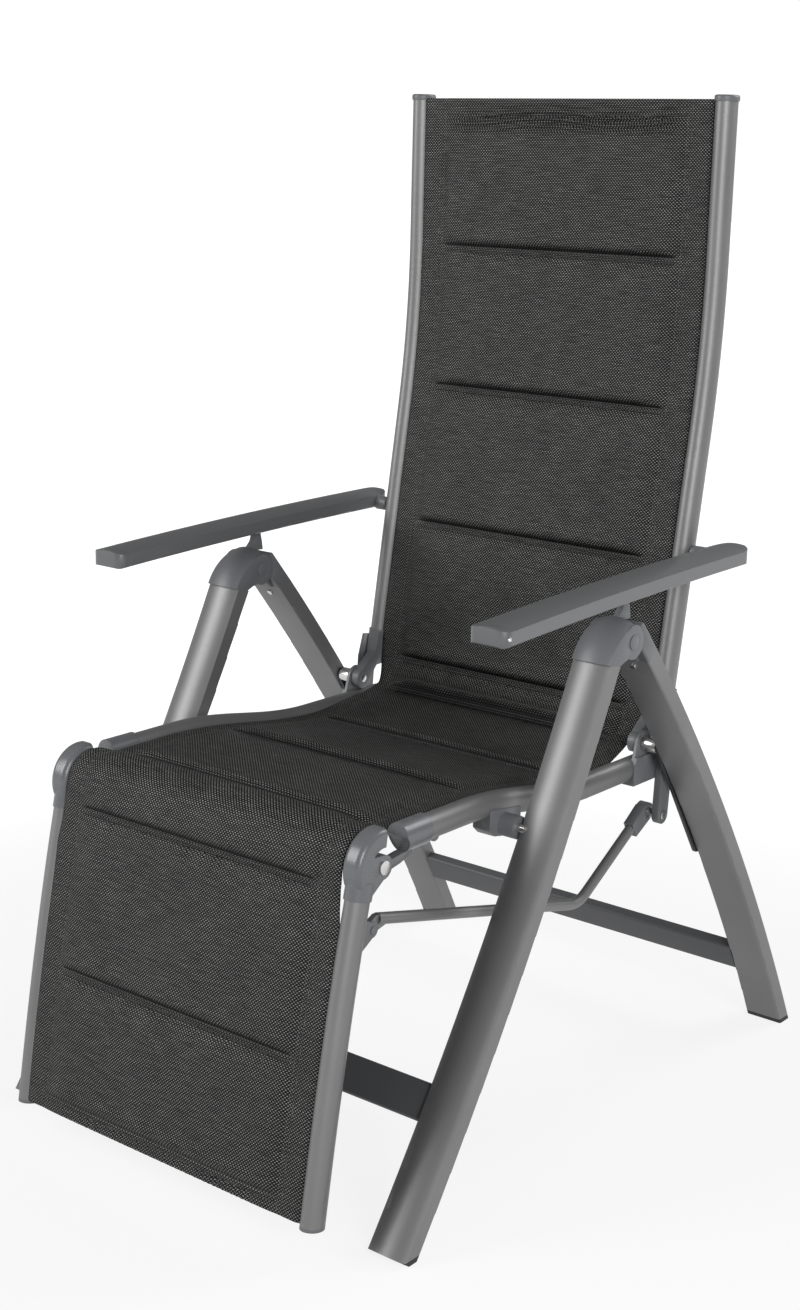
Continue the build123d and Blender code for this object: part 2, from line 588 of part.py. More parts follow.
def link_rivet():
    rivet = cross_pin(LINK_PIVOT, RIVET_RADIUS - RIVET_PROUD, LINK_IN - BORE_GAP, LEG_IN)
    rivet += cross_pin(LINK_PIVOT, RIVET_RADIUS, LEG_IN, LEG_IN + RIVET_DEPTH)
    return rivet + cross_pin(LINK_PIVOT, RIVET_RADIUS, LINK_IN - BORE_GAP - RIVET_PROUD, LINK_IN - BORE_GAP)


def arm_path():
    return side_arc(ARM_MID, ARM_ARC)


def armrest():
    tube = crowned_tube(arm_path(), ARM_WIDTH, ARM_SIDE, ARM_CROWN, -1, ARM_WALL)
    half = SLOT_WIDTH / 2
    slot = ((SLOT_FRONT, SLOT_LOW), (SLOT_REAR, SLOT_LOW), (SLOT_REAR, SLOT_HIGH), (SLOT_FRONT, SLOT_HIGH))
    tube -= slab(slot, ARM_MID - half, ARM_MID + half)
    side_start = OVERALL_WIDTH / 2 - ARM_WIDTH
    return tube - cross_pin(ARM_PIVOT, ARM_PIN_RADIUS + BORE_GAP, side_start, side_start + ARM_PIN_REACH)


def armrest_cap(share, way, length, corner):
    # End cap: a plug in the tube's mouth, and a head whose outer corners are round seen from above
    place = arm_path() @ share
    run = (arm_path() % share) * way
    outer = place + run * length
    inner = place - run * ARM_CAP_PLUG
    head = crowned_bar(Line(place, outer), ARM_WIDTH, ARM_SIDE, ARM_CROWN, -way)
    ends = head.faces().sort_by(Axis.Y)
    head = chamfer((ends[-1] if way > 0 else ends[0]).edges(), ARM_CAP_ROUND)
    outline = Pos(ARM_MID, (inner.Y + outer.Y) / 2) * Rectangle(ARM_WIDTH, abs(outer.Y - inner.Y))
    corners = outline.vertices().sort_by(Axis.Y)
    outline = fillet(corners[-2:] if way > 0 else corners[:2], corner)
    head &= extrude(outline, amount=ARM_PIVOT[1] + ARM_WIDTH)
    section = crowned_face(ARM_WIDTH, ARM_SIDE, ARM_CROWN, -way, ARM_WALL + BORE_GAP)
    cap = head + sweep(section_plane(Line(inner, place)) * section, path=Line(inner, place))
    side_start = OVERALL_WIDTH / 2 - ARM_WIDTH
    return cap - cross_pin(ARM_PIVOT, ARM_PIN_RADIUS + BORE_GAP, side_start, side_start + ARM_PIN_REACH)


def armrest_hinge():
    side_start = OVERALL_WIDTH / 2 - ARM_WIDTH
    hub = cross_pin(ARM_PIVOT, ARM_HUB_RADIUS, ARM_HUB_IN, side_start)
    return hub - cross_pin(ARM_PIVOT, ARM_PIN_RADIUS + BORE_GAP, ARM_HUB_IN, side_start)


def armrest_rack():
    # Toothed liner of the slot under the armrest; the post head runs between the two rows of teeth
    def band(inset):
        front = SLOT_FRONT + inset
        rear = SLOT_REAR - inset
        low = ((front, RACK_FRONT_Z - inset), (rear, RACK_REAR_Z - inset))
        rise = RACK_HEIGHT + inset
        return (*low, (rear, RACK_REAR_Z + rise), (front, RACK_FRONT_Z + rise))

    half = SLOT_WIDTH / 2
    inner = half - RACK_WALL
    rack = slab(band(0), ARM_MID - half, ARM_MID + half)
    rack -= slab(band(RACK_WALL), ARM_MID - inner, ARM_MID + inner)
    slope = (RACK_REAR_Z - RACK_FRONT_Z) / (SLOT_REAR - SLOT_FRONT)
    for index in range(RACK_TEETH):
        start = SLOT_FRONT + RACK_PITCH * (index + 1)
        low = RACK_FRONT_Z + (start - SLOT_FRONT) * slope + RACK_WALL
        high = low + RACK_HEIGHT / 2
        end = start + RACK_TOOTH_LENGTH
        tooth = ((start, low), (end, low), ((start + end) / 2, high), (start, high))
        rack += slab(tooth, ARM_MID - inner, ARM_MID - inner + RACK_TOOTH)
        rack += slab(tooth, ARM_MID + inner - RACK_TOOTH, ARM_MID + inner)
    return rack


def armrest_pin():
    side_start = OVERALL_WIDTH / 2 - ARM_WIDTH
    pin = cross_pin(ARM_PIVOT, ARM_PIN_RADIUS, BACK_IN - BORE_GAP, side_start + ARM_PIN_REACH)
    head_end = BACK_IN - BORE_GAP
    return pin + cross_pin(ARM_PIVOT, ARM_PIN_HEAD_RADIUS, head_end - ARM_PIN_HEAD_THICK, head_end)


def knee_sleeve(tube):
    # Seat half of the knee: a sleeve round the tube end, a plug in its mouth and a hub on the axis
    start = (SEAT_X, SEAT_FRONT[0] - KNEE_MOUTH_WALL, SEAT_FRONT[1])
    end = (SEAT_X, KNEE_SLEEVE_REAR, SEAT_FRONT[1])
    walls = 2 * KNEE_SLEEVE_WALL
    sleeve = oval_bar(Line(start, end), TUBE_WIDTH + walls, SEAT_TUBE_HEIGHT + walls)
    sleeve -= cross_pin(KNEE_PIVOT, KNEE_SLEEVE_GAP, SEAT_IN - KNEE_SLEEVE_WALL, SEAT_OUT + KNEE_SLEEVE_WALL)
    hub = cross_pin(KNEE_PIVOT, KNEE_HUB_RADIUS, SEAT_X - KNEE_HUB_HALF, SEAT_X + KNEE_HUB_HALF)
    hub += slab(KNEE_NECK, SEAT_X - KNEE_HUB_HALF, SEAT_X + KNEE_HUB_HALF)
    body = sleeve + hub - tube
    mouth = Line(start, (SEAT_X, KNEE_PLUG_REAR, SEAT_FRONT[1]))
    plug = oval_bar(mouth, TUBE_WIDTH - 2 * TUBE_WALL, SEAT_TUBE_HEIGHT - 2 * TUBE_WALL)
    body += plug - cross_pin(KNEE_PIVOT, KNEE_SLEEVE_GAP, SEAT_IN, SEAT_OUT)
    return body - cross_pin(KNEE_PIVOT, KNEE_PIN_RADIUS + BORE_GAP, SEAT_IN, SEAT_OUT)


def knee_pin():
    inner_end = SEAT_IN - BORE_GAP
    outer_end = SEAT_OUT + BORE_GAP
    pin = cross_pin(KNEE_PIVOT, KNEE_PIN_RADIUS, inner_end, outer_end)
    pin += cross_pin(KNEE_PIVOT, KNEE_PIN_HEAD_RADIUS, inner_end - KNEE_PIN_HEAD_THICK, inner_end)
    return pin + cross_pin(KNEE_PIVOT, KNEE_PIN_HEAD_RADIUS, outer_end, outer_end + KNEE_PIN_HEAD_THICK)


def rest_path(x):
    neck = Line(at_side(x, REST_TOP), at_side(x, REST_NECK))
    lean = radians(REST_END_LEAN)
    end_run = (0, -sin(lean), -cos(lean))
    shin = Spline(at_side(x, REST_NECK), at_side(x, REST_END), tangents=[neck % 1, end_run])
    return Wire([neck, shin])


def rest_tube_solid():
    return oval_bar(rest_path(SEAT_X), TUBE_WIDTH, REST_TUBE_DEPTH)


def rest_tube():
    return oval_tube(rest_path(SEAT_X), TUBE_WIDTH, REST_TUBE_DEPTH, TUBE_WALL)


def rest_end_cap():
    end = rest_path(SEAT_X) @ 1
    run = rest_path(SEAT_X) % 1
    cap = oval_bar(Line(end, end + run * REST_CAP_LENGTH), TUBE_WIDTH, REST_TUBE_DEPTH)
    plug = Line(end - run * REST_CAP_PLUG, end)
    return cap + oval_bar(plug, TUBE_WIDTH - 2 * TUBE_WALL, REST_TUBE_DEPTH - 2 * TUBE_WALL)


def rest_knuckle():
    # Leg rest half of the knee: a rounded dome over the axis, two ears beside the hub, a collar on the tube
    inner = [(SEAT_IN, KNEE_DOME_INNER), (SEAT_OUT, KNEE_DOME_INNER)]
    outer = [(SEAT_OUT, KNEE_DOME_RADIUS), (SEAT_IN, KNEE_DOME_RADIUS)]
    section = make_face(Polyline(*inner, *outer, close=True))
    section = fillet(section.vertices().sort_by(Axis.Y)[-2:], KNEE_DOME_ROUND)
    upright = Plane(origin=at_side(0, KNEE_PIVOT), x_dir=(1, 0, 0), z_dir=(0, -1, 0))
    drum = revolve(upright * section, axis=Axis(at_side(0, KNEE_PIVOT), (1, 0, 0)))
    dome = drum & slab(KNEE_DOME_OUTLINE, SEAT_IN - RUN_GAP, SEAT_OUT + RUN_GAP)
    inner_end = SEAT_X - KNEE_HUB_HALF - RUN_GAP
    outer_start = SEAT_X + KNEE_HUB_HALF + RUN_GAP
    for start, end in ((SEAT_IN, inner_end), (outer_start, SEAT_OUT)):
        dome += cross_pin(KNEE_PIVOT, KNEE_HUB_RADIUS, start, end) + slab(KNEE_EAR_LINK, start, end)
    dome -= cross_pin(KNEE_PIVOT, KNEE_PIN_RADIUS + BORE_GAP, SEAT_IN, SEAT_OUT)
    neck = Line(at_side(SEAT_X, REST_TOP), at_side(SEAT_X, REST_NECK))
    collar = Line(neck @ KNEE_COLLAR_START, neck @ KNEE_COLLAR_SHARE)
    ring = oval_bar(collar, TUBE_WIDTH + KNEE_COLLAR_EXTRA, REST_TUBE_DEPTH + KNEE_COLLAR_EXTRA)
    return dome + ring - oval_bar(neck, TUBE_WIDTH, REST_TUBE_DEPTH)


def rod_ear_pair(tube):
    ears = Part()
    for way in (-1, 1):
        near = ROD_X + way * EAR_IN_OFFSET
        far = near + way * EAR_THICK
        start, end = sorted((near, far))
        ear = slab(EAR_OUTLINE, start, end) + cross_pin(ROD_PIVOT, EAR_RADIUS, start, end) - tube
        start, end = sorted((far, far + way * EAR_RIVET_THICK))
        ears += ear + cross_pin(ROD_PIVOT, EAR_RIVET_RADIUS, start, end)
    return ears


def rod_path():
    return FilletPolyline(*[at_side(ROD_X, point) for point in ROD_LINE], radius=ROD_BEND)


def rod_solid():
    return sweep(section_plane(rod_path()) * Circle(ROD_RADIUS), path=rod_path())


def sync_rod():
    hollow = sweep(section_plane(rod_path()) * Circle(ROD_RADIUS - ROD_WALL), path=rod_path())
    half = ROD_EYE_THICK / 2
    eye = slab(ROD_EYE_OUTLINE, ROD_X - half, ROD_X + half)
    eye += cross_pin(ROD_PIVOT, ROD_EYE_RADIUS, ROD_X - half, ROD_X + half)
    return rod_solid() - hollow + eye


def rod_elbow(rod):
    body = slab(ELBOW_OUTLINE, ELBOW_IN, ELBOW_OUT)
    body += cross_pin(LEVER_PIVOT, ELBOW_HUB_RADIUS, ELBOW_IN, ELBOW_OUT)
    return body - rod - cross_pin(LEVER_PIVOT, LEVER_PIN_RADIUS + BORE_GAP, ELBOW_IN, ELBOW_OUT)


def rod_pin():
    head_start = LEVER_OUT + BORE_GAP
    pin = cross_pin(LEVER_PIVOT, LEVER_PIN_RADIUS, ELBOW_IN, head_start)
    pin += cross_pin(LEVER_PIVOT, ELBOW_PIN_SPACER, ELBOW_OUT + BORE_GAP, LEVER_IN - BORE_GAP)
    return pin + cross_pin(LEVER_PIVOT, RIVET_RADIUS + RIVET_PROUD, head_start, head_start + RIVET_PROUD)


def band_points(points, thick):
    # Outline of a thin strip along a line of side view points
    upper, lower = [], []
    for index, point in enumerate(points):
        before = points[max(index - 1, 0)]
        after = points[min(index + 1, len(points) - 1)]
        run = (after[0] - before[0], after[1] - before[1])
        length = hypot(*run)
        side = (-run[1] / length * thick / 2, run[0] / length * thick / 2)
        upper.append((point[0] + side[0], point[1] + side[1]))
        lower.append((point[0] - side[0], point[1] - side[1]))
    return upper + lower[::-1]


def sheet(points, half_width):
    return slab(band_points(points, FABRIC_THICK), -half_width, half_width)


def padded_panel(start, end, face_up):
    # One sewn cushion: a shallow block on each side of the sheet with drawn-in edges
    middle = ((start[0] + end[0]) / 2, (start[1] + end[1]) / 2)
    run = (end[0] - start[0], end[1] - start[1])
    plane = Plane(origin=at_side(0, middle), x_dir=(1, 0, 0), z_dir=(0, -run[1] * face_up, run[0] * face_up))
    shape = plane * Rectangle(2 * PAD_HALF_WIDTH, hypot(*run) - PAD_SEAM_GAP)
    front = extrude(shape, amount=PAD_CROWN_FRONT + FABRIC_THICK / 2, taper=PAD_TAPER)
    rear = extrude(shape, amount=-PAD_CROWN_REAR - FABRIC_THICK / 2, taper=PAD_TAPER)
    return front + rear


def both_sides(shape):
    return shape + mirror(shape, about=Plane.YZ)


def seat_pad(solids):
    pad = sheet(SEAT_SHEET, SEAT_HALF_WIDTH)
    for start, end in SEAT_PANELS:
        pad += padded_panel(start, end, -1)
    return pad - both_sides(solids)


def back_pad(solids):
    points = [BACK_SHEET_LOW]
    for height in BACK_SEAM_HEIGHTS[:-1] + (BACK_HEM,):
        points.append((back_depth(height) - BACK_SHEET_SET, height))
    extra = [(back_depth(height) - BACK_SHEET_SET, height) for height in (BACK_BEND_LOW, BACK_BEND_HIGH)]
    points = sorted(points + extra, key=lambda point: point[1])
    pad = sheet(points, BACK_HALF_WIDTH)
    for low, high in zip(BACK_SEAM_HEIGHTS[:-1], BACK_SEAM_HEIGHTS[1:]):
        start = (back_depth(low) - BACK_SHEET_SET, low)
        end = (back_depth(high) - BACK_SHEET_SET, high)
        pad += padded_panel(start, end, 1)
    return pad - both_sides(solids)


def rest_front(share):
    place = rest_path(SEAT_X) @ share
    run = rest_path(SEAT_X) % share
    return (place.Y + run.Z * REST_SHEET_SET, place.Z - run.Y * REST_SHEET_SET)


def rest_pad(solids):
    # Covers the knee like a drum round its axis, then runs down in front of the leg rest tubes
    points = []
    for index in range(KNEE_DRUM_STEPS + 1):
        angle = radians(KNEE_DRUM_REAR + (KNEE_DRUM_FRONT - KNEE_DRUM_REAR) * index / KNEE_DRUM_STEPS)
        reach = (KNEE_DRUM_RADIUS * cos(angle), KNEE_DRUM_RADIUS * sin(angle))
        points.append((KNEE_PIVOT[0] - reach[0], KNEE_PIVOT[1] + reach[1]))
    points += [rest_front(share) for share in REST_SHEET_SHARES]
    pad = sheet(points, REST_HALF_WIDTH)
    for start, end in zip(REST_SEAM_SHARES[:-1], REST_SEAM_SHARES[1:]):
        pad += padded_panel(rest_front(start), rest_front(end), -1)
    return pad - both_sides(solids)


def build_parts():
    parts = {}

    def pair(name, shape):
        parts[name + "_left"] = shape
        parts[name + "_right"] = mirror(shape, about=Plane.YZ)

    def twin(name, shape):
        parts[name] = Compound([*shape.solids(), *mirror(shape, about=Plane.YZ).solids()])

    seat_solid = seat_tube_solid()
    back_solid = back_tube_solid()
    rest_solid = rest_tube_solid()
    rod = rod_solid()
    sleeve = knee_sleeve(seat_solid)
    knuckle = back_knuckle(back_solid)
    rest_head = rest_knuckle()
    pair("front_leg", front_leg())
    pair("rear_leg", rear_leg())
    parts["front_crossbar"] = cross_bar(FRONT_BAR_PLACE, FRONT_BAR_LEAN)
    parts["rear_crossbar"] = cross_bar(REAR_BAR_PLACE, REAR_BAR_LEAN)
    twin("front_foot_caps", foot_cap(FRONT_LEG_ARC, 1))
    twin("rear_foot_caps", foot_cap(REAR_LEG_ARC, -1))
    pair("top_joint", top_joint())
    pair("rear_leg_top", rear_leg_top())
    twin("leg_pivot_pins", leg_pivot_pin())
    twin("rear_leg_screws", rear_leg_screw())
    twin("seat_pivot_pins", seat_pivot_pin())
    pair("seat_tube", seat_tube())
    bars = [round_bar(place, SEAT_BAR_RADIUS, SEAT_X, seat_solid) for place in SEAT_BAR_PLACES]
    parts["seat_crossbars"] = Compound([solid for bar in bars for solid in bar.solids()])
    pair("seat_bracket", seat_bracket(seat_solid))
    pair("seat_hinge", seat_hinge(seat_solid))
    pair("knee_sleeve", sleeve)
    twin("seat_end_caps", seat_end_cap())
    parts["seat_pad"] = seat_pad(seat_solid + sleeve)
    twin("rear_hinge_axles", rear_hinge_axle())
    pair("back_tube", back_tube())
    places = [(back_depth(height) + BACK_BAR_SET, height) for height in BACK_BAR_HEIGHTS]
    bars = [round_bar(place, BACK_BAR_RADIUS, BACK_X, back_solid) for place in places]
    parts["back_crossbars"] = Compound([solid for bar in bars for solid in bar.solids()])
    twin("back_end_caps", back_end_cap())
    pair("back_knuckle", knuckle)
    parts["back_pad"] = back_pad(back_solid + knuckle)
    pair("link_bar", link_bar())
    twin("link_rivets", link_rivet())
    pair("armrest", armrest())
    front_cap = armrest_cap(0, -1, ARM_FRONT_LENGTH, ARM_FRONT_CORNER)
    rear_cap = armrest_cap(1, 1, ARM_REAR_LENGTH, ARM_REAR_CORNER)
    pair("armrest_caps", Compound([*front_cap.solids(), *rear_cap.solids()]))
    pair("armrest_hinge", armrest_hinge())
    pair("armrest_rack", armrest_rack())
    twin("armrest_pins", armrest_pin())
    twin("knee_pins", knee_pin())
    pair("footrest_tube", rest_tube())
    pair("footrest_knuckle", rest_head)
    bars = [round_bar(place, REST_BAR_RADIUS, SEAT_X, rest_solid) for place in REST_BAR_PLACES]
    parts["footrest_crossbars"] = Compound([solid for bar in bars for solid in bar.solids()])
    twin("footrest_end_caps", rest_end_cap())
    twin("rod_ears", rod_ear_pair(rest_solid))
    parts["footrest_pad"] = rest_pad(rest_solid + rest_head)
    twin("rod_pins", rod_pin())
    pair("sync_rod", sync_rod())
    pair("rod_elbow", rod_elbow(rod))
    return parts


os.makedirs("parts", exist_ok=True)
for part_name, part_shape in build_parts().items():
    export_step(Pos(0, FORE_SHIFT, 0) * part_shape, "parts/" + part_name + ".step")
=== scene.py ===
import bpy
import numpy as np
from mathutils import Matrix, Vector


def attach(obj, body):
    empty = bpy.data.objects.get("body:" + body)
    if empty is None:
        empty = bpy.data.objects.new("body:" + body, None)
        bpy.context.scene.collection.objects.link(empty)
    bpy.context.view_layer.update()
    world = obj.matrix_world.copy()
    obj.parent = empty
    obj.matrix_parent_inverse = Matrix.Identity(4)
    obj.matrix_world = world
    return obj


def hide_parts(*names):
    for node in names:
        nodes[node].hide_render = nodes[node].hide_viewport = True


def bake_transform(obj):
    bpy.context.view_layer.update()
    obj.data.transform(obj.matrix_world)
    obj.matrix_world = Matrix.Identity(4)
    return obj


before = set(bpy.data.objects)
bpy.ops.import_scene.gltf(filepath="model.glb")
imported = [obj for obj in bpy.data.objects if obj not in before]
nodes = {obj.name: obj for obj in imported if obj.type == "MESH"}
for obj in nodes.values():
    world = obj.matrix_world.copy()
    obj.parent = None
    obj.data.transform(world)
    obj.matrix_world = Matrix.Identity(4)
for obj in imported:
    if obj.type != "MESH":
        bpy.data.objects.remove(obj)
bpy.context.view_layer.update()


# Camera
# The chair is seen from its front left, from a little above the armrests, with a long lens.
# The turn, drop and roll of the view and the focal length are worked out from the chair's own straight edges.
VIEW_TURN = np.radians(38.531)
VIEW_DROP = np.radians(14.171)
VIEW_ROLL = np.radians(1.32)
VIEW_PLACE = (1.42114, -1.81881, 1.10718)
FOCAL_PIXELS = 1999.045
FRAME_PIXELS = 1310
SENSOR = 36.0

camera = bpy.data.objects.new("camera", bpy.data.cameras.new("camera"))
bpy.context.scene.collection.objects.link(camera)
camera.data.lens = FOCAL_PIXELS * SENSOR / FRAME_PIXELS
camera.data.sensor_width = SENSOR
level = Vector((np.cos(VIEW_TURN), np.sin(VIEW_TURN), 0))
back = Vector((np.sin(VIEW_TURN) * np.cos(VIEW_DROP), -np.cos(VIEW_TURN) * np.cos(VIEW_DROP), np.sin(VIEW_DROP)))
rise = back.cross(level)
right = level * np.cos(VIEW_ROLL) + rise * np.sin(VIEW_ROLL)
upward = rise * np.cos(VIEW_ROLL) - level * np.sin(VIEW_ROLL)
turn = Matrix((right, upward, back)).transposed()
camera.matrix_world = Matrix.Translation(VIEW_PLACE) @ turn.to_4x4()
bpy.context.scene.camera = camera
bpy.context.scene.view_settings.view_transform = "Standard"


# Studio floor and background
# A white sheet of paper under the chair. The camera and reflections see it as white, with the soft shadow kept.
FLOOR_REACH = 30.0
FLOOR_SHADE = 0.42
SHADOW_SHARE = 0.3
SHADOW_NEAR = 0.7
SHADOW_FAR = 2.0
GLOW_LEVEL = 1.2


def new_material(name):
    """An empty node material with its output, ready for shaders."""
    material = bpy.data.materials.new(name)
    material.use_nodes = True
    material.node_tree.nodes.clear()
    material.node_tree.nodes.new("ShaderNodeOutputMaterial")
    return material


def add_node(tree, kind, inputs=None, **attributes):
    """One node with its attributes set. An input gets a plain value, or a link from the socket given for it."""
    node = tree.nodes.new(kind)
    for name, value in attributes.items():
        setattr(node, name, value)
    for name, value in (inputs or {}).items():
        if isinstance(value, bpy.types.NodeSocket):
            tree.links.new(value, node.inputs[name])
        else:
            node.inputs[name].default_value = value
    return node


def math_node(tree, operation, first, second=None):
    """The result of one math node, whose inputs are sockets or plain numbers."""
    inputs = {0: first} if second is None else {0: first, 1: second}
    return add_node(tree, "ShaderNodeMath", inputs, operation=operation).outputs[0]


def ranged(tree, source, low, high, start=0.0, end=1.0, curve="LINEAR"):
    """A socket's value moved from the range start to end into the range low to high, and held at its ends."""
    inputs = {"Value": source, "From Min": start, "From Max": end, "To Min": low, "To Max": high}
    return add_node(tree, "ShaderNodeMapRange", inputs, interpolation_type=curve).outputs["Result"]


def show_surface(tree, shader):
    """Shows a shader node's result on the material."""
    tree.links.new(shader.outputs[0], tree.nodes["Material Output"].inputs["Surface"])


floor_mesh = bpy.data.meshes.new("floor")
corners = FLOOR_REACH * np.array([(-1, -1, 0), (1, -1, 0), (1, 1, 0), (-1, 1, 0)])
floor_mesh.from_pydata(corners.tolist(), [], [(0, 1, 2, 3)])
floor = bpy.data.objects.new("floor", floor_mesh)
bpy.context.scene.collection.objects.link(floor)
paper = new_material("white_paper")
tree = paper.node_tree
rays = add_node(tree, "ShaderNodeLightPath")
seen = math_node(tree, "MAXIMUM", rays.outputs["Is Camera Ray"], rays.outputs["Is Glossy Ray"])
seen = math_node(tree, "MAXIMUM", seen, rays.outputs["Is Transmission Ray"])
floor_place = add_node(tree, "ShaderNodeTexCoord")
reach = add_node(tree, "ShaderNodeVectorMath", {0: floor_place.outputs["Object"]}, operation="LENGTH")
white_share = ranged(tree, reach.outputs["Value"], 1 - SHADOW_SHARE, 1.0, SHADOW_NEAR, SHADOW_FAR, "SMOOTHSTEP")
paper_face = add_node(tree, "ShaderNodeBsdfDiffuse", {"Color": (FLOOR_SHADE, FLOOR_SHADE, FLOOR_SHADE, 1)})
glow = add_node(tree, "ShaderNodeEmission", {"Strength": GLOW_LEVEL})
mixed_share = math_node(tree, "MULTIPLY", seen, white_share)
show_surface(tree, add_node(tree, "ShaderNodeMixShader", {
    "Fac": mixed_share, 1: paper_face.outputs[0], 2: glow.outputs[0],
}))
floor_mesh.materials.append(paper)


# Studio light
# Two large soft boxes stand in front, the stronger one on the left, and a third behind on the right. The room gives
# an even fill, and the camera sees it as white.
ROOM_LEVEL = 0.24
WHITE_LEVEL = 1.3
LAMPS = (
    ("key", (-2.6, -3.4, 2.5), 2.4, 146.0),
    ("fill", (3.8, -2.1, 1.9), 2.2, 134.0),
    ("back_light", (1.6, 3.2, 2.9), 2.2, 90.0),
)
LAMP_AIM = Vector((0, 0, 0.6))

world = bpy.data.worlds.new("studio")
world.use_nodes = True
bpy.context.scene.world = world
tree = world.node_tree
tree.nodes.clear()
rays = add_node(tree, "ShaderNodeLightPath")
seen = math_node(tree, "MAXIMUM", rays.outputs["Is Camera Ray"], rays.outputs["Is Transmission Ray"])
room = add_node(tree, "ShaderNodeBackground", {"Strength": ROOM_LEVEL})
white = add_node(tree, "ShaderNodeBackground", {"Strength": WHITE_LEVEL})
mixed = add_node(tree, "ShaderNodeMixShader", {"Fac": seen, 1: room.outputs[0], 2: white.outputs[0]})
add_node(tree, "ShaderNodeOutputWorld", {"Surface": mixed.outputs[0]})

for name, place, size, power in LAMPS:
    lamp = bpy.data.objects.new(name, bpy.data.lights.new(name, "AREA"))
    lamp.data.size = size
    lamp.data.energy = power
    lamp.location = place
    lamp.rotation_euler = (LAMP_AIM - Vector(place)).to_track_quat("-Z", "Y").to_euler()
    bpy.context.scene.collection.objects.link(lamp)


# Frame tubes
# Legs, cross bars, seat, back and leg rest tubes are drawn aluminium with a satin grey coat; the front and rear
# cross bars have a darker copy of it, painted shade for the shade under the chair.
# The coat has a fine grain, and its tone drifts a little along each tube.
COAT_COLOUR = (0.200, 0.200, 0.201)
COAT_METAL = 0.45
COAT_ROUGHNESS = 0.44
# The darker cross bar coat is painted shade: the bars sit in the shade under the chair
SHADED_BAR_COLOUR = (0.085, 0.087, 0.092)
BAR_METAL = 0.1
BAR_ROUGHNESS = 0.5
COAT_SPREAD = 0.12
GRAIN_SIZE = 900.0
GRAIN_DETAIL = 3.0
GRAIN_DEPTH = 0.06
GRAIN_HEIGHT = 0.0004
DRIFT_SIZE = 9.0
DRIFT_DETAIL = 2.0
SMOOTHER = 0.05
ROUGHER = 0.07
TUBE_NODES = (
    "front_leg_left", "front_leg_right", "rear_leg_left", "rear_leg_right",
    "seat_tube_left", "seat_tube_right", "seat_crossbars", "back_tube_left", "back_tube_right", "back_crossbars",
    "footrest_tube_left", "footrest_tube_right", "footrest_crossbars", "sync_rod_left", "sync_rod_right",
)


def new_group(name, inputs, outputs):
    """A node group with number inputs at their usual values, and outputs as (name, socket kind)."""
    group = bpy.data.node_groups.new(name, "ShaderNodeTree")
    for label, value in inputs:
        socket = group.interface.new_socket(label, in_out="INPUT", socket_type="NodeSocketFloat")
        socket.default_value = value
    for label, kind in outputs:
        group.interface.new_socket(label, in_out="OUTPUT", socket_type=kind)
    return group, group.nodes.new("NodeGroupInput"), group.nodes.new("NodeGroupOutput")


# The grain group gives a fine surface height for the coat, and a tone mask that drifts over the piece
grain, grain_in, grain_out = new_group(
    "coat_grain",
    (("Grain Size", GRAIN_SIZE), ("Drift Size", DRIFT_SIZE), ("Depth", GRAIN_DEPTH)),
    (("Tone", "NodeSocketFloat"), ("Fine", "NodeSocketFloat"), ("Normal", "NodeSocketVector")),
)
on_piece = add_node(grain, "ShaderNodeTexCoord").outputs["Object"]
fine = add_node(grain, "ShaderNodeTexNoise", {
    "Vector": on_piece, "Scale": grain_in.outputs["Grain Size"], "Detail": GRAIN_DETAIL,
})
drift = add_node(grain, "ShaderNodeTexNoise", {
    "Vector": on_piece, "Scale": grain_in.outputs["Drift Size"], "Detail": DRIFT_DETAIL,
})
bump = add_node(grain, "ShaderNodeBump", {
    "Strength": grain_in.outputs["Depth"], "Distance": GRAIN_HEIGHT, "Height": fine.outputs["Fac"],
})
grain.links.new(drift.outputs["Fac"], grain_out.inputs["Tone"])
grain.links.new(fine.outputs["Fac"], grain_out.inputs["Fine"])
grain.links.new(bump.outputs["Normal"], grain_out.inputs["Normal"])


def coated_material(name, colour, roughness, metal, spread=COAT_SPREAD, grain_size=GRAIN_SIZE, depth=GRAIN_DEPTH):
    """A coated or moulded surface: the colour drifts by the spread, and the grain shifts the roughness."""
    material = new_material(name)
    tree = material.node_tree
    skin = tree.nodes.new("ShaderNodeGroup")
    skin.node_tree = grain
    skin.inputs["Grain Size"].default_value = grain_size
    skin.inputs["Depth"].default_value = depth
    tone = add_node(tree, "ShaderNodeMix", data_type="RGBA")
    tone.inputs["A"].default_value = (*[part * (1 - spread) for part in colour], 1)
    tone.inputs["B"].default_value = (*[part * (1 + spread) for part in colour], 1)
    tree.links.new(skin.outputs["Tone"], tone.inputs["Factor"])
    show_surface(tree, add_node(tree, "ShaderNodeBsdfPrincipled", {
        "Metallic": metal,
        "Base Color": tone.outputs["Result"],
        "Roughness": ranged(tree, skin.outputs["Fine"], roughness - SMOOTHER, roughness + ROUGHER),
        "Normal": skin.outputs["Normal"],
    }))
    return material


EDGE_EASE = 0.0005
EDGE_ANGLE = 32.0
WELD_REACH = 0.00001


def dress(name, material, edge=EDGE_EASE):
    """Gives a solid its finish: its points are welded, its sharp edges eased, and its round faces shaded smooth."""
    piece = nodes[name]
    piece.data.materials.clear()
    piece.data.materials.append(material)
    piece.data.polygons.foreach_set("use_smooth", np.ones(len(piece.data.polygons), bool))
    weld = piece.modifiers.new("weld", "WELD")
    weld.merge_threshold = WELD_REACH
    if edge:
        ease = piece.modifiers.new("ease", "BEVEL")
        ease.width = edge
        ease.segments = 2
        ease.limit_method = "ANGLE"
        ease.angle_limit = np.radians(EDGE_ANGLE)
    split = piece.modifiers.new("split", "EDGE_SPLIT")
    split.split_angle = np.radians(EDGE_ANGLE)
    return piece


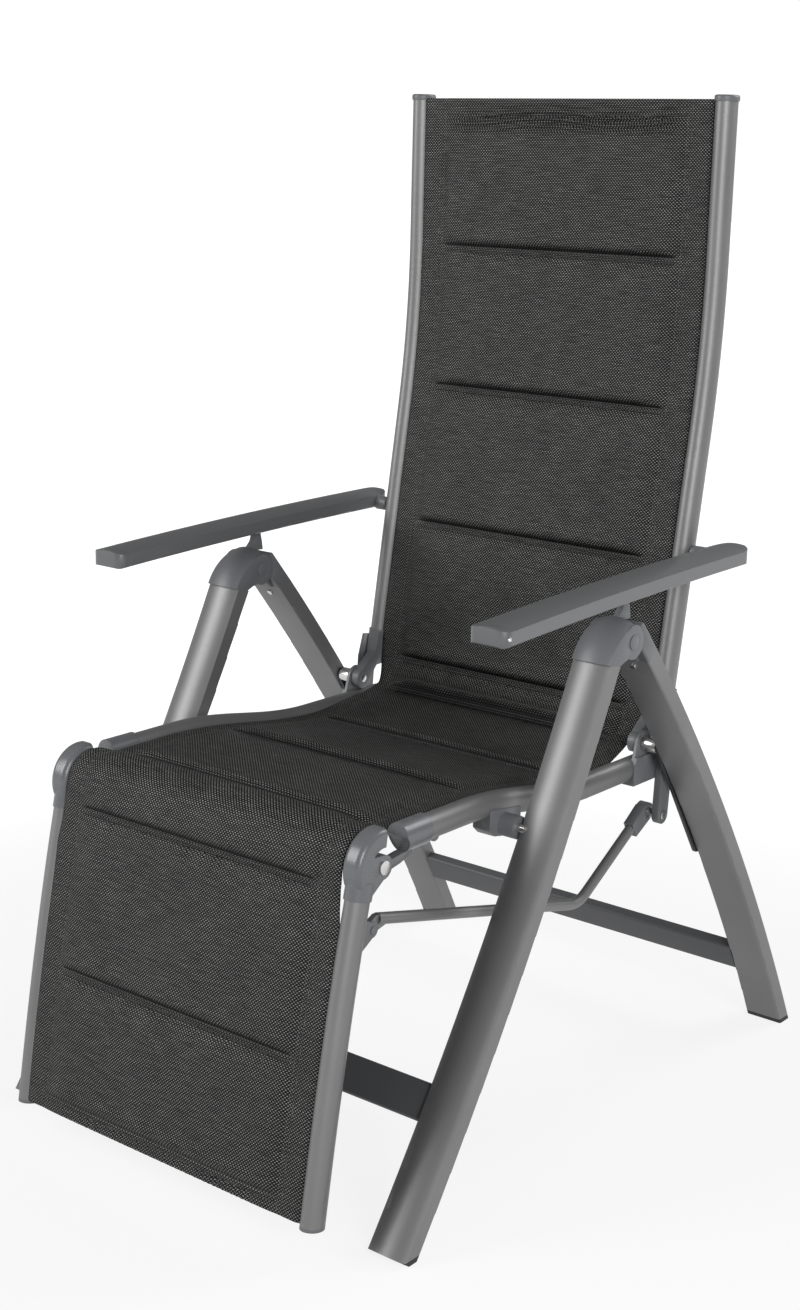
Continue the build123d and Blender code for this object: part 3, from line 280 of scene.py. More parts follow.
coat = coated_material("satin_grey_coat", COAT_COLOUR, COAT_ROUGHNESS, COAT_METAL)
for name in TUBE_NODES:
    dress(name, coat, 0)
# Painted shade: the front and rear cross bars get the darker copy of the coat
shaded_bar_coat = coated_material("painted_shade_bar_coat", SHADED_BAR_COLOUR, BAR_ROUGHNESS, BAR_METAL)
for name in ("front_crossbar", "rear_crossbar"):
    dress(name, shaded_bar_coat, 0)


# Joints, knuckles and caps
# Glass filled nylon mouldings in the grey of the frame, a little glossier at the knees where they are rounded.
NYLON_COLOUR = (0.132, 0.136, 0.144)
NYLON_ROUGHNESS = 0.42
NYLON_GRAIN = {"spread": 0.08, "grain_size": 1400.0, "depth": 0.1}
KNEE_ROUGHNESS = 0.27
KNEE_GRAIN = {"spread": 0.08, "grain_size": 1400.0, "depth": 0.03}
NYLON_NODES = (
    "top_joint_left", "top_joint_right", "rear_leg_top_left", "rear_leg_top_right", "seat_bracket_left",
    "seat_bracket_right", "seat_hinge_left", "seat_hinge_right", "back_knuckle_left", "back_knuckle_right",
    "rod_elbow_left", "rod_elbow_right", "rod_ears", "armrest_hinge_left", "armrest_hinge_right",
    "armrest_rack_left", "armrest_rack_right",
)
CAP_NODES = ("seat_end_caps", "back_end_caps", "footrest_end_caps")
KNEE_NODES = ("knee_sleeve_left", "knee_sleeve_right", "footrest_knuckle_left", "footrest_knuckle_right")

nylon = coated_material("grey_nylon", NYLON_COLOUR, NYLON_ROUGHNESS, 0.0, **NYLON_GRAIN)
for name in NYLON_NODES + CAP_NODES:
    dress(name, nylon)
knee_nylon = coated_material("polished_grey_nylon", NYLON_COLOUR, KNEE_ROUGHNESS, 0.0, **KNEE_GRAIN)
for name in KNEE_NODES:
    dress(name, knee_nylon)


# Rubber feet
# Dark rubber slices push into the leg ends and stand on the floor.
RUBBER_COLOUR = (0.022, 0.022, 0.023)
RUBBER_ROUGHNESS = 0.7
RUBBER_GRAIN = {"spread": 0.15, "grain_size": 600.0, "depth": 0.2}

rubber = coated_material("foot_rubber", RUBBER_COLOUR, RUBBER_ROUGHNESS, 0.0, **RUBBER_GRAIN)
for name in ("front_foot_caps", "rear_foot_caps"):
    dress(name, rubber)


# Armrests
# Shallow crowned aluminium sections with the coat of the frame, closed by nylon caps at both ends.
# A domed steel rivet holds each front cap, in its rounded outer corner.
ARM_COLOUR = (0.165, 0.168, 0.173)
ARM_ROUGHNESS = 0.4
ARM_METAL = 0.35
ARM_GRAIN = {"spread": 0.06, "grain_size": 1100.0, "depth": 0.05}
CAP_COLOUR = (0.122, 0.125, 0.129)
CAP_ROUGHNESS = 0.33
CAP_GRAIN = {"spread": 0.06, "grain_size": 1400.0, "depth": 0.05}

arm_coat = coated_material("armrest_coat", ARM_COLOUR, ARM_ROUGHNESS, ARM_METAL, **ARM_GRAIN)
for name in ("armrest_left", "armrest_right"):
    dress(name, arm_coat, 0)
cap_nylon = coated_material("armrest_cap_nylon", CAP_COLOUR, CAP_ROUGHNESS, 0.0, **CAP_GRAIN)
for name in ("armrest_caps_left", "armrest_caps_right"):
    dress(name, cap_nylon)

# The rivet's profile as pairs of radius and height, its place on the left cap, and how far it leans forwards
RIVET_PROFILE = np.array([(0.0023, -0.0008), (0.0023, 0.0003), (0.0020, 0.0008), (0.0013, 0.0011)])
RIVET_PLACE = np.array((0.2996, -0.2351, 0.6360))
RIVET_LEAN = np.radians(14.5)
RIVET_STEPS = 28
RIVET_COLOUR = (0.72, 0.71, 0.70)
RIVET_ROUGHNESS = 0.22
RIVET_GRAIN = {"spread": 0.05, "grain_size": 2200.0, "depth": 0.03}

rivet_steel = coated_material("rivet_steel", RIVET_COLOUR, RIVET_ROUGHNESS, 1.0, **RIVET_GRAIN)


def cap_rivet(name, way):
    """A domed rivet head: the profile turned about a line that leaves the cap outwards and a little forwards, and
    closed by a face at each end. Way is 1 on the left and -1 on the right."""
    out = np.array((way * np.cos(RIVET_LEAN), -np.sin(RIVET_LEAN), 0))
    level = np.array((np.sin(RIVET_LEAN), way * np.cos(RIVET_LEAN), 0))
    turns = np.linspace(0, 2 * np.pi, RIVET_STEPS, endpoint=False)
    circle = np.cos(turns)[:, None] * level + np.sin(turns)[:, None] * np.array((0, 0, 1.0))
    radius, height = RIVET_PROFILE[:, None, :1], RIVET_PROFILE[:, None, 1:]
    points = (RIVET_PLACE * (way, 1, 1) + radius * circle + height * out).reshape(-1, 3)
    index = np.arange(len(points)).reshape(-1, RIVET_STEPS)
    a, b = index[:-1], np.roll(index[:-1], -1, axis=1)
    c, d = np.roll(index[1:], -1, axis=1), index[1:]
    quads = np.stack([a, b, c, d], -1).reshape(-1, 4).tolist()
    ends = [index[0][::-1].tolist(), index[-1].tolist()]
    mesh = bpy.data.meshes.new(name)
    mesh.from_pydata(points.tolist(), [], quads + ends)
    mesh.update()
    mesh.materials.append(rivet_steel)
    mesh.polygons.foreach_set("use_smooth", np.ones(len(mesh.polygons), bool))
    piece = bpy.data.objects.new(name, mesh)
    bpy.context.scene.collection.objects.link(piece)
    return piece


for side_name, way in (("left", 1), ("right", -1)):
    rivet = cap_rivet("armrest_cap_rivet_" + side_name, way)
    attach(rivet, "armrest_" + side_name)


# Pins, rivets and links
# Bright turned steel for the pins, rivets and spacers, a nylon cover over each leg pivot, and dark painted flat
# steel for the two links.
STEEL_COLOUR = (0.62, 0.61, 0.60)
STEEL_ROUGHNESS = 0.25
STEEL_GRAIN = {"spread": 0.08, "grain_size": 2000.0, "depth": 0.05}
STEEL_EDGE = 0.0004
COVER_ROUGHNESS = 0.38
COVER_GRAIN = {"spread": 0.05, "grain_size": 1400.0, "depth": 0.05}
LINK_COLOUR = (0.03, 0.031, 0.033)
LINK_ROUGHNESS = 0.45
LINK_METAL = 0.2
LINK_GRAIN = {"spread": 0.1, "grain_size": 1200.0, "depth": 0.1}
STEEL_NODES = (
    "rear_leg_screws", "seat_pivot_pins", "rear_hinge_axles", "link_rivets", "armrest_pins", "knee_pins", "rod_pins",
)

steel = coated_material("turned_steel", STEEL_COLOUR, STEEL_ROUGHNESS, 1.0, **STEEL_GRAIN)
for name in STEEL_NODES:
    dress(name, steel, STEEL_EDGE)
cover = coated_material("pin_cover_nylon", NYLON_COLOUR, COVER_ROUGHNESS, 0.0, **COVER_GRAIN)
dress("leg_pivot_pins", cover)
link_paint = coated_material("link_paint", LINK_COLOUR, LINK_ROUGHNESS, LINK_METAL, **LINK_GRAIN)
for name in ("link_bar_left", "link_bar_right"):
    dress(name, link_paint)


# Padded sling
# One length of black coated mesh runs from the top of the back over the seat and the knee to the foot.
# A thin pad is sewn in between two layers, and double seams across divide it into panels.
SLING_LINE = np.array([
    (256.8, 1172), (256.8, 1110), (256.8, 1040), (256.7, 987), (253.1, 900), (243.6, 811), (226, 700), (215.3, 634),
    (201.8, 550), (190, 478), (186.0, 456), (178, 437), (168, 425), (153, 419), (140.9, 416), (107.9, 409.8),
    (65.9, 405.5), (29.9, 405.5), (-29.1, 411), (-89.1, 420), (-146.1, 427.5), (-204.1, 431.5), (-262, 432.2),
    (-298, 431.4), (-308.6, 430), (-319.4, 437.5), (-331.6, 442.4), (-344.6, 442.4), (-356.9, 438), (-366.9, 429.6),
    (-373.0, 418), (-376.4, 405.5), (-378.6, 386.5), (-385.3, 347.4), (-395.6, 293.7), (-406.2, 239.9),
    (-412.8, 204), (-422.3, 150), (-428.3, 114), (-434.1, 78), (-439.3, 43),
]) / 1000
LINE_STEP = 0.0015
LINE_CUTS = 40


def smooth_line(points, step):
    """A curve through the points, cut at equal steps of its length: each run between two points is the cubic whose
    ends lean along the chord from the point before to the point after. Gives places, unit normals and lengths."""
    before = np.vstack([2 * points[0] - points[1], points[:-2]])
    after = np.vstack([points[2:], 2 * points[-1] - points[-2]])
    lean_start = (points[1:] - before) / 2
    lean_end = (after - points[:-1]) / 2
    t = np.linspace(0, 1, LINE_CUTS, endpoint=False)[:, None, None]
    start, end = points[:-1], points[1:]
    curve = (
        (2 * t**3 - 3 * t**2 + 1) * start + (t**3 - 2 * t**2 + t) * lean_start
        + (3 * t**2 - 2 * t**3) * end + (t**3 - t**2) * lean_end
    )
    curve = np.vstack([curve.transpose(1, 0, 2).reshape(-1, 2), points[-1]])
    run = np.concatenate([[0], np.cumsum(np.linalg.norm(np.diff(curve, axis=0), axis=1))])
    lengths = np.linspace(0, run[-1], int(run[-1] / step))
    places = np.stack([np.interp(lengths, run, curve[:, 0]), np.interp(lengths, run, curve[:, 1])], 1)
    ahead = np.gradient(places, axis=0)
    ahead /= np.linalg.norm(ahead, axis=1)[:, None]
    normals = np.stack([ahead[:, 1], -ahead[:, 0]], 1)
    return places, normals, lengths


places, normals, lengths = smooth_line(SLING_LINE, LINE_STEP)


def length_at(y, z):
    """The length along the sling of the place nearest to a side view point in millimetres."""
    gaps = np.linalg.norm(places - np.array((y, z)) / 1000, axis=1)
    return lengths[gaps.argmin()]


# Seams across the sling from the top of the back to the foot, as side view points in millimetres
TOP_HEM = 0.016
FOOT_HEM = 0.014
SEAM_PLACES = (
    (256.7, 987), (243.6, 811), (215.3, 634), (186, 456), (160, 421.5), (29.9, 405.5), (-146.1, 427.5),
    (-308.6, 430), (-378.6, 386.5), (-412.8, 204),
)
SEAM_LENGTHS = np.array([TOP_HEM, *[length_at(*spot) for spot in SEAM_PLACES], lengths[-1] - FOOT_HEM])
SEAM_BAND = 0.0035
SIDE_SEAM = 0.177
SIDE_BAND = 0.006

# Half the width of the sling at side view points: it narrows at the crease, round the hinges, and over the knee
WIDTH_PLACES = (
    ((256.8, 1172), 0.2113), ((190, 478), 0.2113), ((184, 450), 0.206), ((168, 425), 0.196), ((140.9, 416), 0.2),
    ((107.9, 409.8), 0.2052), ((-204.1, 431.5), 0.2049), ((-240, 432), 0.2022), ((-344.6, 442.4), 0.2024),
    ((-366.9, 429.6), 0.2029), ((-378.6, 386.5), 0.2031), ((-382, 366), 0.2052), ((-386, 345), 0.2088),
    ((-439.3, 43), 0.2088),
)
width_lengths = np.array([length_at(*spot) for spot, half in WIDTH_PLACES])
width_halves = np.array([half for spot, half in WIDTH_PLACES])

# Uneven waves: each row of the table is the mix of sines that one panel uses
RIPPLE_ROWS = 16
RIPPLE_SINES = 6
RIPPLE_LEAST = 0.6
RIPPLE_MOST = 1.5
ripple_source = np.random.default_rng(7)
RIPPLE_TURNS = ripple_source.uniform(RIPPLE_LEAST, RIPPLE_MOST, (RIPPLE_ROWS, RIPPLE_SINES))
RIPPLE_STARTS = ripple_source.uniform(0, 2 * np.pi, (RIPPLE_ROWS, RIPPLE_SINES))


def ripples(x, wave, row):
    """Uneven waves across the sling: sines near one wavelength, with their own lengths and starts for each row."""
    turns = RIPPLE_TURNS[row] * 2 * np.pi / wave
    return np.sin(x[..., None] * turns + RIPPLE_STARTS[row]).mean(-1) * 2


def swell(distance, reach, power):
    """From 0 at a seam to 1 far from it: one minus the exponential of minus the distance over the reach, raised to
    the power."""
    return 1 - np.exp(-(distance / reach) ** power)


def ridge(distance, width):
    """A bell of height 1: the exponential of minus the squared distance over the width."""
    return np.exp(-(distance / width) ** 2)


# The pad's heights, and the reach and power of its rise after a seam, its fall to the next, and its two sides
MESH_HALF = 0.0009
PAD_FRONT = 0.0066
PAD_REAR = 0.0034
PAD_RISE = (0.012, 1.2)
PAD_FALL = (0.0040, 1.4)
PAD_SIDE = (0.012, 1.1)
FOLD_SIDE = (0.02, 1.5)
# How full the panels are and how far they roll, from the top hem down; the panel above the crease rolls the most
PANEL_FILL = np.array([0.35, 1, 1, 1, 1, 0.95, 0.8, 0.9, 1, 0.6, 0.9, 1, 0.35])
ROLL_SHARE = np.array([0.3, 1, 1, 1, 1.3, 2.9, 0.6, 0.9, 0.9, 0.6, 0.7, 1, 0.3])
ROLL_FRONT = 0.0030
ROLL_PLACE = 0.011
ROLL_WIDTH = 0.008
# Wavelength and height of the slow waves, and of the puckers after and before a seam, with their fade
SLOW_WAVE, SLOW_HEIGHT = 0.16, 0.0007
AFTER_WAVE, AFTER_HEIGHT, AFTER_FADE = 0.0095, 0.0013, 0.010
BEFORE_WAVE, BEFORE_HEIGHT, BEFORE_FADE = 0.017, 0.0004, 0.006
BEFORE_ROW = 5
# The folds under the top hem run across and sway a little
HEM_WRINKLES = 0.0027
HEM_WRINKLE_PITCH = 0.0088
HEM_WRINKLE_REACH = 0.028
HEM_WRINKLE_PLACE = 0.012
HEM_SWAY, HEM_SWAY_WAVE, HEM_SWAY_ROW = 0.0035, 0.26, 14
WELT_HEIGHT = 0.0014
WELT_WIDTH = 0.0023
REAR_SHARE = 0.5


def pad_lift(x, s):
    """Front and rear height of the sling over its middle line. Each panel is a plateau that swells from its seam
    bands, and rolls over just above the next seam. Beside the seams the mesh puckers in short waves, the top hem
    has folds along it, and each seam is a low welt."""
    panel = np.searchsorted(SEAM_LENGTHS, s)
    fill = PANEL_FILL[panel]
    above = SEAM_LENGTHS[np.clip(panel - 1, 0, len(SEAM_LENGTHS) - 1)]
    below = SEAM_LENGTHS[np.clip(panel, 0, len(SEAM_LENGTHS) - 1)]
    from_above = np.where(panel > 0, s - above, 1.0)
    to_below = np.where(panel < len(SEAM_LENGTHS), below - s, 1.0)
    after = np.clip(from_above - SEAM_BAND, 0, None)
    ahead = np.clip(to_below - SEAM_BAND, 0, None)
    side = np.clip(SIDE_SEAM - np.abs(x), 0, None)
    plateau = swell(after, *PAD_RISE) * swell(ahead, *PAD_FALL)
    plateau *= swell(side, *PAD_SIDE)
    inner = swell(side, *FOLD_SIDE)
    roll = ROLL_FRONT * ridge(ahead - ROLL_PLACE, ROLL_WIDTH) * np.where(ahead > 0, 1, 0) * inner
    roll *= ROLL_SHARE[panel]
    slow = ripples(x, SLOW_WAVE, panel % RIPPLE_ROWS) * SLOW_HEIGHT
    pucker_after = ripples(x, AFTER_WAVE, panel % RIPPLE_ROWS) * AFTER_HEIGHT * np.exp(-after / AFTER_FADE)
    before_row = (panel + BEFORE_ROW) % RIPPLE_ROWS
    pucker_before = ripples(x, BEFORE_WAVE, before_row) * BEFORE_HEIGHT * np.exp(-ahead / BEFORE_FADE)
    wave = (pucker_after + pucker_before) * inner * np.where((after > 0) & (ahead > 0), 1, 0)
    from_hem = s - TOP_HEM
    sway = HEM_SWAY * ripples(x, HEM_SWAY_WAVE, HEM_SWAY_ROW)
    hem_fold = np.sin(2 * np.pi * (from_hem - sway) / HEM_WRINKLE_PITCH) * inner
    wave += HEM_WRINKLES * hem_fold * ridge(from_hem - HEM_WRINKLE_PLACE, HEM_WRINKLE_REACH / 2)
    welt = WELT_HEIGHT * ridge(np.minimum(np.abs(from_above), np.abs(to_below)), WELT_WIDTH) * inner
    front = MESH_HALF + fill * (PAD_FRONT * plateau + roll + slow * plateau) + wave + welt
    rear = MESH_HALF + fill * (PAD_REAR * plateau + slow * plateau * REAR_SHARE) + wave * REAR_SHARE
    return front, rear


STITCH_DIP = 0.0005
STITCH_DIP_WIDTH = 0.0011
TURN_BACK = 0.0022
TURN_BACK_WIDTH = 0.004


def side_lift(x, s):
    """The plain band outside the side seam: two sewn rows dip into it, and its edge turns back to the tube."""
    out = np.abs(x)
    rows = ridge(out - SIDE_SEAM, STITCH_DIP_WIDTH) + ridge(out - SIDE_SEAM - SIDE_BAND, STITCH_DIP_WIDTH)
    edge = np.interp(s, width_lengths, width_halves) - out
    return -STITCH_DIP * rows, TURN_BACK * ridge(edge, TURN_BACK_WIDTH)


def sling_point(x, s, lift):
    """The place of a point that lies x across and s along the sling, lifted off its middle line."""
    y = np.interp(s, lengths, places[:, 0]) + np.interp(s, lengths, normals[:, 0]) * lift
    z = np.interp(s, lengths, places[:, 1]) + np.interp(s, lengths, normals[:, 1]) * lift
    return np.stack([x, y, z], -1)


INNER_COLUMNS = 160
INNER_MARGIN = 0.008
OUTER_COLUMNS = 11
ROW_STEP = 0.0024
HEM_ROW_STEP = 0.0012
SEAM_ROWS = np.linspace(-0.009, 0.006, 16)
ROW_DIGITS = 5
ROW_LEAST = 0.0003


def sling_grid(start, end):
    """Even rows from start to end, closer together at the seams and under the top hem, and columns that follow the
    width outside the side seam. Gives x and s as two arrays of one shape."""
    rows = np.arange(start, end + ROW_STEP / 2, ROW_STEP)
    near = SEAM_LENGTHS[(SEAM_LENGTHS > start) & (SEAM_LENGTHS < end)]
    extra = (near[:, None] + SEAM_ROWS[None, :]).ravel()
    extra = np.concatenate([extra, np.arange(0, TOP_HEM + HEM_WRINKLE_REACH, HEM_ROW_STEP)])
    rows = np.concatenate([rows, extra[(extra > start) & (extra < end)], [start, end]])
    rows = np.unique(np.round(rows, ROW_DIGITS))
    rows = rows[np.concatenate([[True], np.diff(rows) > ROW_LEAST])]
    rows[-1] = end
    inner = np.linspace(-SIDE_SEAM - INNER_MARGIN, SIDE_SEAM + INNER_MARGIN, INNER_COLUMNS)
    halves = np.interp(rows, width_lengths, width_halves)[:, None]
    share = np.linspace(0, 1, OUTER_COLUMNS)[None, 1:]
    right = inner[-1] + (halves - inner[-1]) * share
    x = np.hstack([-right[:, ::-1], np.broadcast_to(inner, (len(rows), INNER_COLUMNS)), right])
    return x, np.broadcast_to(rows[:, None], x.shape)


def closed_shell(name, front, rear, uv, seam):
    """A thin closed skin from two grids of points: front and rear faces, joined by strips round the four edges."""
    rows, columns = front.shape[:2]
    index = np.arange(rows * columns).reshape(rows, columns)
    a, b, c, d = index[:-1, :-1], index[:-1, 1:], index[1:, 1:], index[1:, :-1]
    faces_front = np.stack([a, d, c, b], -1).reshape(-1, 4)
    faces_rear = np.stack([a, b, c, d], -1).reshape(-1, 4) + rows * columns
    ring = np.concatenate([index[0, :-1], index[:-1, -1], index[-1, :0:-1], index[:0:-1, 0]])
    following = np.roll(ring, -1)
    strip = np.stack([ring, following, following + rows * columns, ring + rows * columns], -1)
    faces = np.concatenate([faces_front, faces_rear, strip])
    points = np.concatenate([front.reshape(-1, 3), rear.reshape(-1, 3)])
    mesh = bpy.data.meshes.new(name)
    mesh.from_pydata(points.tolist(), [], faces.tolist())
    layer = mesh.uv_layers.new(name="cloth")
    both = np.concatenate([uv.reshape(-1, 2), uv.reshape(-1, 2)])
    layer.data.foreach_set("uv", both[faces.ravel()].ravel().astype(np.float32))
    # The seam attribute carries painted shade for the folds above the seams and the crease
    mask = mesh.attributes.new("seam", "FLOAT", "POINT")
    mask.data.foreach_set("value", np.concatenate([seam.ravel(), seam.ravel()]).astype(np.float32))
    mesh.polygons.foreach_set("use_smooth", np.ones(len(faces), bool))
    mesh.update()
    piece = bpy.data.objects.new(name, mesh)
    bpy.context.scene.collection.objects.link(piece)
    return piece


# The weave group lays the mesh out in metres: short light threads in a brick pattern over dark gaps, with a slow
# drift of tone and the long thin slubs of the yarn
WEAVE_ACROSS = 0.0041
WEAVE_ALONG = 0.0020
BRICK_SHIFT = 0.5
THREAD_ROUND = 0.7
DRIFT_SCALE = 14.0
SLUB_STRETCH = (42.0, 620.0, 1.0)
SLUB_DETAIL = 4.0

weave, weave_in, weave_out = new_group(
    "sling_weave",
    (("Across", WEAVE_ACROSS), ("Along", WEAVE_ALONG)),
    (("Thread", "NodeSocketFloat"), ("Drift", "NodeSocketFloat"), ("Slub", "NodeSocketFloat")),
)


def humps(tree, turns):
    """A row of rounded humps, one for each whole number: the size of the sine of half a turn for each."""
    return math_node(tree, "ABSOLUTE", math_node(tree, "SINE", math_node(tree, "MULTIPLY", turns, np.pi)))


on_cloth = add_node(weave, "ShaderNodeUVMap", uv_map="cloth").outputs[0]
across_along = add_node(weave, "ShaderNodeSeparateXYZ", {0: on_cloth})
row = math_node(weave, "DIVIDE", across_along.outputs[1], weave_in.outputs["Along"])
offset = math_node(weave, "MULTIPLY", math_node(weave, "FLOOR", row), BRICK_SHIFT)
column = math_node(weave, "DIVIDE", across_along.outputs[0], weave_in.outputs["Across"])
column = math_node(weave, "ADD", column, offset)
thread = math_node(weave, "POWER", humps(weave, row), THREAD_ROUND)
thread = math_node(weave, "MULTIPLY", humps(weave, column), thread)
drift = add_node(weave, "ShaderNodeTexNoise", {"Vector": on_cloth, "Scale": DRIFT_SCALE})
stretch = add_node(weave, "ShaderNodeVectorMath", {0: on_cloth, 1: SLUB_STRETCH}, operation="MULTIPLY")
slub = add_node(weave, "ShaderNodeTexNoise", {"Vector": stretch.outputs[0], "Scale": 1.0, "Detail": SLUB_DETAIL})
weave.links.new(thread, weave_out.inputs["Thread"])
weave.links.new(drift.outputs["Fac"], weave_out.inputs["Drift"])
weave.links.new(slub.outputs["Fac"], weave_out.inputs["Slub"])

# The coated mesh is near black between its threads. Painted shade darkens the fold above each seam and the crease,
# and a dark line runs along the second stitched row
THREAD_COLOUR = (0.222, 0.222, 0.214, 1)
GAP_COLOUR = (0.002, 0.002, 0.002, 1)
THREAD_START = 0.62
THREAD_FULL = 0.92
DRIFT_LOW = 0.78
DRIFT_HIGH = 1.22
PAINTED_SHADE_DARKEST = 0.1
SLUB_START = 0.3
SLUB_FULL = 0.7
SLUB_LOW = 0.5
SLUB_HIGH = 1.55
CLOTH_ROUGHNESS = 0.62
CLOTH_SPECULAR = 0.2
THREAD_RELIEF = 0.5
THREAD_HEIGHT = 0.0006

sling_cloth = new_material("black_sling_mesh")
tree = sling_cloth.node_tree
cloth = tree.nodes.new("ShaderNodeGroup")
cloth.node_tree = weave
cloth.inputs["Across"].default_value = WEAVE_ACROSS
cloth.inputs["Along"].default_value = WEAVE_ALONG
painted_shade_mask = add_node(tree, "ShaderNodeAttribute", attribute_name="seam")
drift_shade = ranged(tree, cloth.outputs["Drift"], DRIFT_LOW, DRIFT_HIGH)
# Painted shade from the seam attribute: the folds above the seams and the crease
painted_shade_factor = ranged(tree, painted_shade_mask.outputs["Fac"], PAINTED_SHADE_DARKEST, 1.0)
slub_shade = ranged(tree, cloth.outputs["Slub"], SLUB_LOW, SLUB_HIGH, SLUB_START, SLUB_FULL)
drift_slub_and_painted_shade = math_node(tree, "MULTIPLY", math_node(tree, "MULTIPLY", drift_shade, painted_shade_factor), slub_shade)
tone = add_node(tree, "ShaderNodeMix", data_type="RGBA")
tone.inputs["A"].default_value = GAP_COLOUR
tone.inputs["B"].default_value = THREAD_COLOUR
thread_mask = ranged(tree, cloth.outputs["Thread"], 0.0, 1.0, THREAD_START, THREAD_FULL)
tree.links.new(thread_mask, tone.inputs["Factor"])
shaded = add_node(tree, "ShaderNodeMix", data_type="RGBA", blend_type="MULTIPLY")
shaded.inputs["Factor"].default_value = 1.0
tree.links.new(tone.outputs["Result"], shaded.inputs["A"])
tree.links.new(drift_slub_and_painted_shade, shaded.inputs["B"])
bump = add_node(tree, "ShaderNodeBump", {
    "Strength": THREAD_RELIEF, "Distance": THREAD_HEIGHT, "Height": cloth.outputs["Thread"],
})
show_surface(tree, add_node(tree, "ShaderNodeBsdfPrincipled", {
    "Roughness": CLOTH_ROUGHNESS,
    "Specular IOR Level": CLOTH_SPECULAR,
    "Base Color": shaded.outputs["Result"],
    "Normal": bump.outputs["Normal"],
}))

# The four pieces of the sling: name, start, end, the two bodies, two lengths along the sling, and the node that it
# stands for
CREASE_UP = 0.03
CREASE_FORWARD = 0.045
KNEE_BACK = 0.05
KNEE_DOWN = 0.115
crease = length_at(160, 421.5)
seat_middle = length_at(-146.1, 427.5)
knee_top = length_at(-325, 440.5)
SLING_PIECES = (
    ("back_sling", 0.0, crease, ("back_axles", "back"), (crease, crease - CREASE_UP), "back_pad"),
    ("seat_sling_rear", crease, seat_middle, ("seat", "back_axles"), (crease + CREASE_FORWARD, crease), "seat_pad"),
    ("seat_sling_front", seat_middle, knee_top, ("seat", "knee_pins"), (knee_top - KNEE_BACK, knee_top), "seat_pad"),
    ("footrest_sling", knee_top, lengths[-1], ("knee_pins", "leg_rest"), (knee_top, knee_top + KNEE_DOWN),
     "footrest_pad"),
)

# Painted shade in the fold above a seam widens away from the sides; the second row is a dark line, and the crease
# gets painted shade too
FOLD_PLACE = 0.001
FOLD_WIDTH = 0.0016
FOLD_WIDENING = 0.0022
FOLD_TAPER = 0.03
ROW_DARKNESS = 0.85
ROW_WIDTH = 0.0014
CREASE_PLACE = 0.004
CREASE_WIDTH = 0.009
CREASE_PAINTED_SHADE = 0.9
CREASE_TAPER = 1.5


def painted_fold_shade(x, s):
    """How light the cloth stays near the seams, from 0 to 1: painted shade in the fold above each seam and in the
    crease, and a dark line on the second row, each one minus a ridge, multiplied.
    """
    cross_seams = SEAM_LENGTHS[1:-1]
    to_fold = np.abs(s[..., None] - (cross_seams - SEAM_BAND - FOLD_PLACE)).min(-1)
    to_row = np.abs(s[..., None] - (cross_seams + SEAM_BAND)).min(-1)
    taper = np.clip((SIDE_SEAM - SIDE_BAND - np.abs(x)) / FOLD_TAPER, 0, 1)
    light = 1 - ridge(to_fold, FOLD_WIDTH + FOLD_WIDENING * taper) * (taper > 0)
    light = light * (1 - ROW_DARKNESS * ridge(to_row, ROW_WIDTH) * (taper > 0))
    crease_shade = CREASE_PAINTED_SHADE * ridge(s - crease - CREASE_PLACE, CREASE_WIDTH)
    return light * (1 - crease_shade * np.clip(taper * CREASE_TAPER, 0, 1))


def bend_with(piece):
    """Bakes the piece's transform into its points."""
    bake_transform(piece)


for name, start, end, bodies, span, node in SLING_PIECES:
    x, s = sling_grid(start, end)
    front, rear = pad_lift(x, s)
    dip, turn_back = side_lift(x, s)
    front_points = sling_point(x, s, front + dip - turn_back)
    rear_points = sling_point(x, s, -rear - turn_back)
    piece = closed_shell(name, front_points, rear_points, np.stack([x, s], -1), painted_fold_shade(x, s))
    piece.data.materials.append(sling_cloth)
    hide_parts(node)
    bend_with(piece)


# Sewing of the sling
# Black polyester thread in lock stitches: two rows on every cross seam, on both hems and down both sides.
STITCH_LENGTH = 0.0034
STITCH_PITCH = 0.0046
STITCH_RADIUS = 0.00055
STITCH_RISE = 0.35
STITCH_ROW = 0.75
STITCH_MARGIN = 0.004
ROW_END = 0.003
STITCH_SIDES = 6
STITCH_RINGS = ((-0.5, 0.35), (-0.36, 1.0), (0.36, 1.0), (0.5, 0.35))
SMALL_STEP = 0.0008
YARN_COLOUR = (0.05, 0.05, 0.049)
YARN_ROUGHNESS = 0.55
YARN_GRAIN = {"spread": 0.2, "grain_size": 3000.0, "depth": 0.2}

yarn = coated_material("sewing_thread", YARN_COLOUR, YARN_ROUGHNESS, 0.0, **YARN_GRAIN)


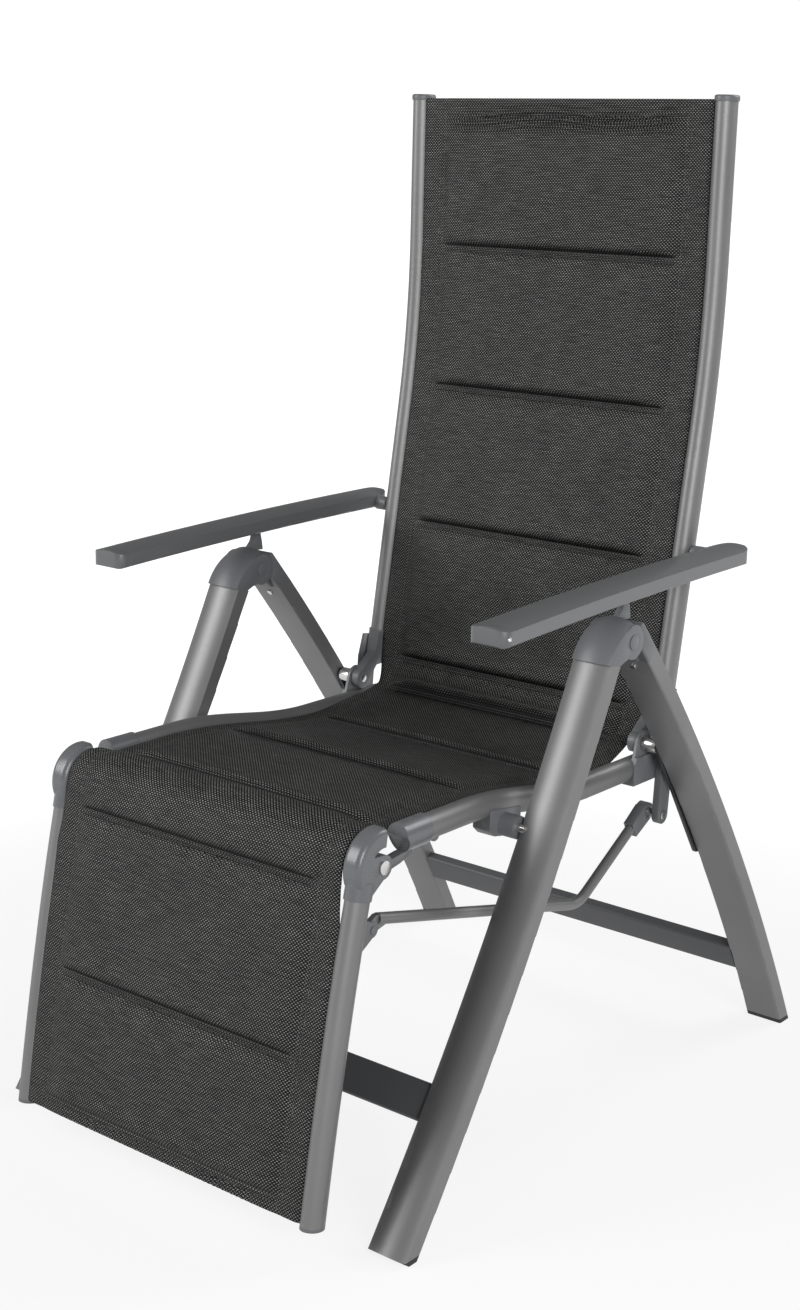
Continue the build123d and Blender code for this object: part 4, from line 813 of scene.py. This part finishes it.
def stitch_bodies(places, ahead, out):
    """Every stitch is a short rounded rod: rings of points round its run, each with its own place along the run and
    its own size, closed by a face at each end."""
    turns = np.linspace(0, 2 * np.pi, STITCH_SIDES, endpoint=False)[:, None, None]
    turned = np.cos(turns) * np.cross(ahead, out) + np.sin(turns) * out
    rings = [places + ahead * STITCH_LENGTH * spot + turned * STITCH_RADIUS * size for spot, size in STITCH_RINGS]
    points = np.stack(rings, 0).transpose(2, 0, 1, 3)
    base = np.arange(len(rings) * STITCH_SIDES).reshape(-1, STITCH_SIDES)
    a, b = base[:-1], np.roll(base[:-1], -1, axis=1)
    c, d = np.roll(base[1:], -1, axis=1), base[1:]
    firsts = base.size * np.arange(len(places))[:, None, None]
    quads = (np.stack([d, c, b, a], -1).reshape(-1, 4)[None] + firsts).reshape(-1, 4)
    ends = (np.stack([base[0], base[-1][::-1]])[None] + firsts).reshape(-1, STITCH_SIDES)
    return points.reshape(-1, 3), quads.tolist() + ends.tolist()


def surface_frame(x, s, along):
    """Place, run and outward way of the sling's front at points, by a small step along it. The run goes along the
    sling or across it."""
    dip, turn_back = side_lift(x, s)
    here = sling_point(x, s, pad_lift(x, s)[0] + dip - turn_back)
    run_along = sling_point(x, s + SMALL_STEP, pad_lift(x, s + SMALL_STEP)[0] + dip - turn_back) - here
    run_along /= np.linalg.norm(run_along, axis=-1)[..., None]
    run_across = np.zeros_like(here) + np.array((1.0, 0, 0))
    out = np.cross(run_along, run_across)
    out /= np.linalg.norm(out, axis=-1)[..., None]
    front_way = [np.interp(s, lengths, normals[:, 0]), np.interp(s, lengths, normals[:, 1])]
    out *= np.sign((out[..., 1:] * np.stack(front_way, -1)).sum(-1))[..., None]
    return here, (run_along if along else run_across), out


for name, start, end, bodies, span, node in SLING_PIECES:
    rows = []
    for seam_place in SEAM_LENGTHS:
        for shift in (-SEAM_BAND * STITCH_ROW, SEAM_BAND * STITCH_ROW):
            if start <= seam_place + shift < end:
                x = np.arange(-SIDE_SEAM + STITCH_MARGIN, SIDE_SEAM - ROW_END, STITCH_PITCH)
                rows.append(surface_frame(x, np.full_like(x, seam_place + shift), False))
    for column in (-SIDE_SEAM - SIDE_BAND, -SIDE_SEAM, SIDE_SEAM, SIDE_SEAM + SIDE_BAND):
        s = np.arange(start + STITCH_MARGIN / 2, end - STITCH_MARGIN / 2, STITCH_PITCH)
        rows.append(surface_frame(np.full_like(s, column), s, True))
    here, run, out = (np.concatenate(parts) for parts in zip(*rows))
    points, faces = stitch_bodies(here + out * STITCH_RADIUS * STITCH_RISE, run, out)
    mesh = bpy.data.meshes.new(name + "_stitches")
    mesh.from_pydata(points.tolist(), [], faces)
    mesh.polygons.foreach_set("use_smooth", np.ones(len(mesh.polygons), bool))
    mesh.materials.append(yarn)
    stitches = bpy.data.objects.new(name + "_stitches", mesh)
    bpy.context.scene.collection.objects.link(stitches)
    bend_with(stitches)
